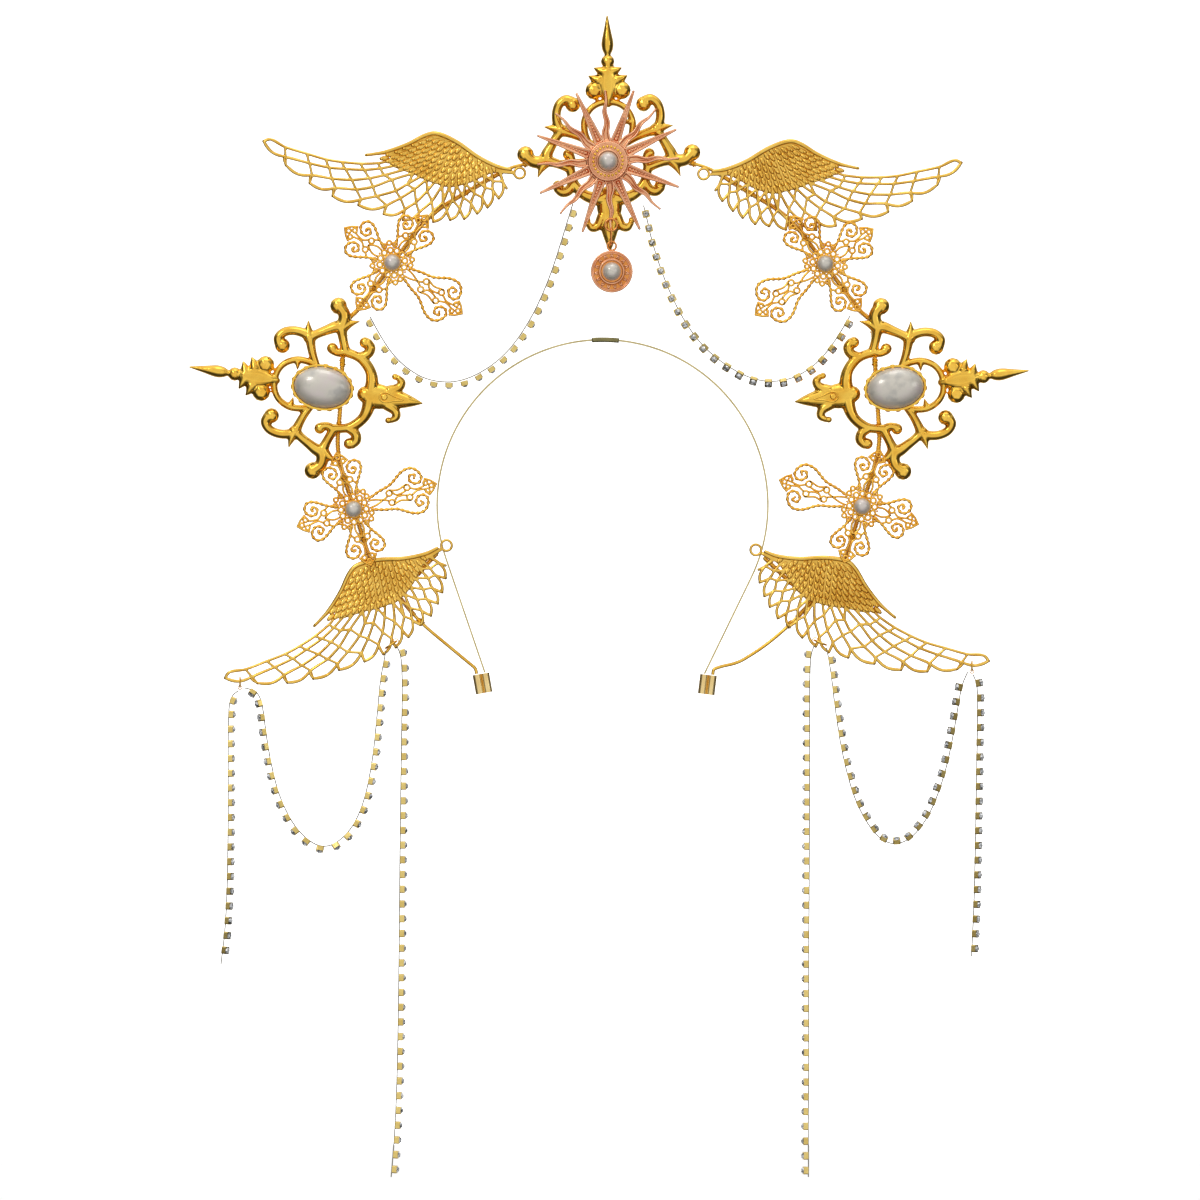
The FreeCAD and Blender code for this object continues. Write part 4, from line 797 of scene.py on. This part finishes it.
STROKES = [
    [(-21.4, -0.4, 1.5), (-20.4, 4.6, 1.5), (-17.6, 8.3, 1.5), (-12.9, 10.4, 1.6), (-7.7, 10.2, 1.6),
     (-3.7, 8.7, 1.6)],
    [(-2.6, 6.6, 1.5), (-4.4, 9.5, 1.7), (-6.4, 13.2, 1.9), (-7.9, 17.2, 2.1), (-8.8, 20.6, 2.5)],
    [(-8.8, 20.6, 2.4), (-12.0, 22.2, 2.2), (-16.2, 22.6, 2.1), (-20.2, 21.4, 2.1), (-22.4, 18.6, 2.2),
     (-21.6, 16.0, 2.4)],
    [(-8.6, 20.8, 2.4), (-6.0, 22.8, 2.1), (-2.1, 25.1, 2.3), (1.0, 26.8, 2.7), (3.8, 27.6, 3.1)],
    [(3.6, 27.0, 3.1), (4.6, 30.4, 2.9), (4.0, 33.4, 2.8), (1.8, 35.8, 2.9)],
    [(3.9, 27.2, 2.8), (5.0, 23.4, 2.2), (6.3, 19.8, 2.1), (7.4, 17.2, 2.3)],
    [(7.0, 17.0, 2.1), (4.4, 16.1, 1.9), (1.7, 16.8, 2.0)],
    [(6.8, 17.0, 2.2), (12.4, 15.8, 2.1), (16.1, 13.9, 2.4), (19.2, 10.4, 2.5), (20.6, 6.4, 2.9),
     (20.9, 2.2, 3.2)],
    [(13.4, 15.8, 1.9), (16.8, 17.4, 2.3), (17.8, 20.2, 2.3), (16.4, 22.4, 2.0)],
    [(28.6, 3.0, 2.6), (32.4, 5.0, 2.2), (33.4, 7.6, 1.9), (31.6, 9.4, 1.3)],
]
LEAVES = [
    [(-9.2, 20.6, 2.9), (-10.2, 24.6, 1.5), (-10.7, 28.0, 0.2)],
    [(4.2, 27.0, 2.8), (7.6, 29.4, 1.6), (11.4, 31.0, 0.2)],
    [(-34.2, 1.6, 2.6), (-35.2, 4.2, 1.5), (-36.0, 5.9, 0.35)],
    [(-30.6, 4.0, 2.8), (-31.6, 6.6, 1.6), (-32.6, 8.3, 0.35)],
    [(-12.6, 9.4, 1.5), (-12.3, 7.6, 0.9), (-12.2, 6.0, 0.2)],
]
BULBS = [(-38.8, 0.0, 3.1), (-26.2, 6.0, 4.1), (-20.2, 15.4, 3.5), (1.4, 17.6, 2.6), (1.2, 36.2, 3.9),
         (15.0, 22.2, 2.6), (30.2, 9.6, 1.5)]


def relief(half):
    """How far a stroke of this half width stands out from the middle of the back."""
    return np.minimum(3.75, 1.3 + 0.85 * np.asarray(half))


def ornament(name):
    """A baroque casting: round strokes, leaves and bulbs, run together in one skin with a flat back."""
    put = in_plane(ORNAMENTS[name])
    shape = Shape()
    base = PLATE_BACK - 0.35
    for sign in (1, -1):
        for stroke in STROKES + LEAVES + (AXIS_STROKES if sign > 0 else []):
            nodes = smooth([(a, b * sign, half) for a, b, half in stroke], 0.5)
            half = np.maximum(nodes[:, 2], 0.2)
            shape.tube(put(nodes[:, :2], base), half, 20, flatten=relief(half) / half)
            for end in (0, -1):
                shape.bead(put(nodes[end, :2], base)[0], half[end], relief(half[end]))
        for a, b, radius in BULBS:
            if b or sign > 0:
                shape.bead(put((a, b * sign), base)[0], radius, min(3.8, 1.0 + 0.8 * radius))
    mesh = bpy.data.meshes.new(name + "_strokes")
    mesh.from_pydata((np.vstack(shape.verts) * MM).tolist(), [], shape.faces)

    def trimmed(co, _):
        return np.clip(co[:, 1], ORNAMENT_FRONT, PLATE_BACK)
    cast(name, 0.33, trimmed, CAST, source=mesh)


def teardrop(name):
    """The raised drop outline on an ornament's lily."""
    put = in_plane(ORNAMENTS[name])
    shape = Shape()
    half = [(25.0, 0.0), (25.5, 1.35), (27.0, 2.15), (28.8, 1.9), (31.5, 0.95), (35.4, 0.0)]
    line = half + [(a, -b) for a, b in half[-2:0:-1]]
    shape.tube(put(smooth(line, 0.4, True), ORNAMENT_FRONT), 0.36, 8, closed=True)
    shape.bead(put((27.1, 0.0), ORNAMENT_FRONT + 0.25)[0], 1.5, 0.6)
    piece(shape, name + "_drop", CAST, "crown")


def bezel(name):
    """A setting of small pointed leaves round an oval pearl, on the CAD's wall."""
    put = in_plane(ORNAMENTS[name])
    shape = Shape()
    long, short, wall = 12.5, 9.0, 0.35
    leaves, leaf_depth, rim_depth = 18, -7.5, -8.2
    for number in range(leaves):
        angle = TURN / leaves * (number + 0.5)
        foot = np.array([(long + wall) * math.cos(angle), (short + wall) * math.sin(angle)])
        along, side = heading(math.atan2(math.sin(angle) / short, math.cos(angle) / long))
        origin = put(foot, leaf_depth)[0]
        outward = put(foot + along, leaf_depth)[0] - origin
        across = put(foot + side, leaf_depth)[0] - origin
        shape.ball(origin, [outward * 1.15, OUT * 0.7, across * 1.5])
        shape.ball(origin - outward * 0.45 + OUT * 1.2,
                   [-outward * 0.35 + OUT * 0.9, outward * 0.35, across * 1.1])
    rim = circle(1.0, 90) * (long + wall, short + wall)
    shape.tube(put(rim, rim_depth), 0.4, 8, closed=True, twist=(2, 1.2, 0.15))
    piece(shape, name + "_setting", CAST, "crown")


for label in ORNAMENTS:
    ornament(label)
    if label != "top_ornament":
        teardrop(label)
        bezel(label)


# ---------------------------------------------------------------- starburst and medallion
HUB_RADIUS = 8.2


def star_depth(co, away):
    """Rays with raised edges and a sunk channel between them, and a hub with a sunk face."""
    channel = np.clip((away - 0.62) / 0.35, 0, 1)
    from_hub = np.hypot(co[:, 0] - STAR[0], co[:, 2] - STAR[1])
    channel *= np.clip((from_hub - HUB_RADIUS) / 0.8, 0, 1)
    height = (0.35 + 0.65 * rounded(away, 0.5)) * (1 - 0.42 * channel)
    depth = STAR_BACK + (co[:, 1] - STAR_BACK) * height
    face = (from_hub < HUB_RADIUS - 0.3) & (depth < HUB_FRONT + 1.0)
    return np.where(face, np.maximum(depth, HUB_FRONT + 0.35), depth)


# The edges of a wavy ray: distance from the middle of the star, then each edge's distance from its line.
WAVE = [(7.8, 1.9, 1.9), (12.4, 2.1, 1.0), (16.7, 0.9, 1.5), (21.7, 1.5, 0.2), (26.0, 0.2, 0.7),
        (30.4, 0.0, 0.0)]


def straight_ray(shape, put, angle):
    """Two converging edge wires, a ball at the tip, and a row of grains between the edges."""
    first, last = 8.6, 32.2
    along, side = heading(angle)
    gone = np.linspace(first, last, 24)
    off = np.interp(gone, [first, last], [1.75, 0.12])
    wire = np.interp(gone, [first, last], [0.55, 0.45])
    for edge in (1, -1):
        line = along * gone[:, None] + side * (edge * off)[:, None]
        shape.tube(put(line, STAR_FRONT + 0.3), wire, 8)
    shape.bead(put(along * last, STAR_FRONT + 0.35)[0], 0.6)
    for step in range(13):
        shape.bead(put(along * (10.2 + 1.45 * step), STAR_FRONT + 0.30)[0], 0.60 - 0.025 * step, 0.5)


def wavy_ray(shape, put, angle):
    """Two edge wires that run in waves to a ball at the tip."""
    last = WAVE[-1][0]
    along, side = heading(angle)
    for edge, column in ((1, 1), (-1, 2)):
        line = smooth([(node[0], edge * max(node[column] - 0.3, 0.0)) for node in WAVE], 0.5)
        wire = np.interp(line[:, 0], [8.8, last], [0.52, 0.44])
        shape.tube(put(line[:, :1] * along + line[:, 1:] * side, STAR_FRONT + 0.25), wire, 8)
    shape.bead(put(along * last, STAR_FRONT + 0.3)[0], 0.55)


def starburst():
    """Eight straight and eight wavy rays round a hub of roped rings and gold grains."""
    cast("starburst", 0.27, star_depth, ROSE)
    put = in_plane(STAR)
    shape = Shape()
    for number in range(8):
        straight_ray(shape, put, math.radians(45 * number + 22.5))
    for number in range(8):
        wavy_ray(shape, put, math.radians(45 * number + 90))
    for radius, wire, depth in ((8.25, 0.42, HUB_FRONT + 0.45), (4.75, 0.55, HUB_FRONT + 0.1)):
        shape.tube(put(circle(radius, int(radius * 16)), depth), wire, 8, closed=True, twist=(2, 0.9, 0.15))
    shape.tube(put(circle(7.55, 60), HUB_FRONT + 0.4), 0.3, 6, closed=True)
    piece(shape, "starburst_granules", ROSE, "crown")
    grains = Shape()
    for middle in circle(6.35, 24):
        grains.bead(put(middle, HUB_FRONT + 0.3)[0], 0.66, 0.6)
    piece(grains, "starburst_hub_grains", CAST, "crown")


def medallion():
    """The pendant's relief: a beaded edge, a ring of short bars and a smooth collar."""
    put = in_plane(MEDALLION)
    shape = Shape()
    shape.tube(put(circle(8.65, 160), PENDANT_FRONT + 0.15), 0.45, 8, closed=True, twist=(2, 0.85, 0.17))
    shape.tube(put(circle(7.95, 72), PENDANT_FRONT + 0.05), 0.28, 6, closed=True)
    shape.tube(put(circle(5.15, 60), PENDANT_FRONT - 0.1), 0.62, 10, closed=True)
    bars = 30
    for number in range(bars):
        angle = TURN / bars * number
        lean = 0.10 if number % 2 else -0.10
        bar = even([polar(6.0, angle), polar(7.6, angle + lean)], 0.5)
        shape.tube(put(bar, PENDANT_FRONT + 0.2), 0.34, 6)
    piece(shape, "medallion_relief", ROSE, "pendant")


starburst()
medallion()


# ---------------------------------------------------------------- lashings and wraps
COIL_PITCH = 0.66


def islands(node):
    """The middles of a CAD node's separate solids."""
    work = joined(node)
    seen, middles = set(), []
    for first in work.verts:
        group, waiting = [], [first]
        while waiting:
            vert = waiting.pop()
            if vert not in seen:
                seen.add(vert)
                group.append(vert.co.copy())
                waiting += [edge.other_vert(vert) for edge in vert.link_edges]
        if group:
            middles.append(sum(group, Vector()) / len(group) / MM)
    work.free()
    return middles


def coil(shape, middles, radius, wire, per_turn=12, phase=0.0):
    """A close coil of wire round a line of points."""
    gone = steps_along(middles)
    where = np.linspace(0, gone[-1], int(per_turn * gone[-1] / COIL_PITCH))
    path = np.column_stack([np.interp(where, gone, middles[:, k]) for k in range(3)])
    tangent = np.gradient(path, axis=0)
    tangent /= np.linalg.norm(tangent, axis=1)[:, None]
    around = (TURN * where / COIL_PITCH + phase)[:, None]
    shape.tube(path + radius * (np.cos(around) * np.cross(tangent, BACK) + np.sin(around) * BACK), wire, 6)


def lashings():
    """Each lashing is one close coil with a loop of wire across it, a little uneven like hand work."""
    reach, overrun, lean, number = 4.2, 0.3, 0.9, 0
    left = sorted(islands("wire_lashings"), key=lambda p: (round(p.x, 2), round(p.z, 2)))
    shape = Shape()
    while left:
        group = [left.pop(0)]
        for point in list(left):
            if (point - group[0]).length < reach:
                group.append(point)
                left.remove(point)
        spread = max(((a - b).length, a, b) for a in group for b in group if a is not b)
        start, end = np.array(spread[1]), np.array(spread[2])
        run = (end - start) / np.linalg.norm(end - start)
        coil(shape, np.array([start - run * overrun, end + run * overrun]), 1.06, 0.30, 14, number)
        lean, number = -lean, number + 1
        angles = np.linspace(0, TURN, 26)[:-1, None]
        loop = ((start + end) / 2 + run * lean * np.cos(angles)
                + 1.42 * (np.cos(angles) * np.cross(run, BACK) + np.sin(angles) * BACK * 0.9))
        shape.tube(loop, 0.26, 6, closed=True)
    piece(shape, "wire_lashing_coils", WRAP, "crown", ("wire_lashings",))


def wire_middle(node, point, side):
    """The middle of a CAD wire beside a point, from rays on both sides of it."""
    reach = 4.0
    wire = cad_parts[node]
    found = []
    for sign in (1, -1):
        origin = Vector(np.asarray(point) + np.asarray(side) * reach * sign) * MM
        hit, place, _, _ = wire.ray_cast(origin, -Vector(side) * sign, distance=2 * reach * MM)
        if hit:
            found.append(np.array(place) / MM)
    return sum(found) / 2 if len(found) == 2 else np.asarray(point, float)


# Where fine wire binds the frame from end to end: x and z along the wire.
WRAPS = {
    "left_frame_wire": [(-44.0, 145.0), (-55.0, 138.4), (-75.3, 126.6), (-91.3, 105.2), (-106.0, 85.0),
                        (-111.8, 80.0), (-113.2, 62.0), (-114.0, 42.0), (-115.8, 23.1), (-108.1, -1.9),
                        (-100.6, -25.6), (-89.5, -38.6), (-82.0, -48.0)],
    "right_frame_wire": [(50.0, 144.4), (60.0, 138.0), (81.0, 125.8), (96.7, 104.7), (111.8, 84.2),
                         (117.6, 80.0), (118.4, 62.0), (119.6, 43.0), (120.8, 24.8), (112.8, -0.2),
                         (105.0, -25.0), (91.4, -41.6), (84.4, -49.2)],
    "left_brace_wire": [(-87.2, -37.6), (-80.0, -29.6), (-72.0, -21.0)],
    "right_brace_wire": [(89.2, -40.2), (81.0, -33.0), (70.4, -23.0)],
}


def wraps():
    """The frame bound with fine wire, in a close coil round the CAD's wires."""
    shape = Shape()
    for node, route in WRAPS.items():
        line = smooth(route, 1.2)
        run = np.gradient(line, axis=0)
        run /= np.linalg.norm(run, axis=1)[:, None]
        middles = [wire_middle(node, (x, FRAME_MIDDLE, z), (-b, 0.0, a))
                   for (x, z), (a, b) in zip(line, run)]
        coil(shape, np.array(middles), 0.98, 0.26)
    piece(shape, "frame_wraps", WRAP, "crown")


def hoop_sleeve():
    """The short darker joint inside the top of the hoop: three flat strands side by side."""
    shape = Shape()
    radius, count = 71.9, 12
    angles = np.radians(np.linspace(93.7, 84.3, count))
    for depth in (-1.6, 0.0, 1.6):
        path = np.column_stack([radius * np.cos(angles), np.full(count, depth), radius * np.sin(angles)])
        shape.tube(path, 1.0, 10, flatten=0.45)
    piece(shape, "hoop_sleeve", SLEEVE, "crown")


lashings()
wraps()
hoop_sleeve()


# ---------------------------------------------------------------- CAD nodes that stay
KEPT = {
    "hoop_band": HOOP, "left_ferrule": SATIN, "right_ferrule": SATIN, "left_frame_wire": WIRE,
    "right_frame_wire": WIRE, "left_brace_wire": WIRE, "right_brace_wire": WIRE, "cross_pearls": PEARL,
    "oval_bezels": CAST, "oval_pearls": PEARL, "star_pearl": PEARL, "star_connector": COPPER,
    "tip_rings": WIRE, "wing_rings": WIRE, "pendant_link": COPPER, "medallion": COPPER,
    "pendant_pearl": PEARL, "left_tip_loop": WIRE, "right_tip_loop": WIRE, "left_drop_loop": WIRE,
    "right_drop_loop": WIRE,
}
for chain in CHAINS:
    KEPT[chain + "_cups"] = BRASS
    KEPT[chain + "_stones"] = CRYSTAL
for node, finish_of in KEPT.items():
    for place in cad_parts[node].material_slots:
        place.material = finish_of

bpy.context.scene.view_settings.view_transform = "Standard"
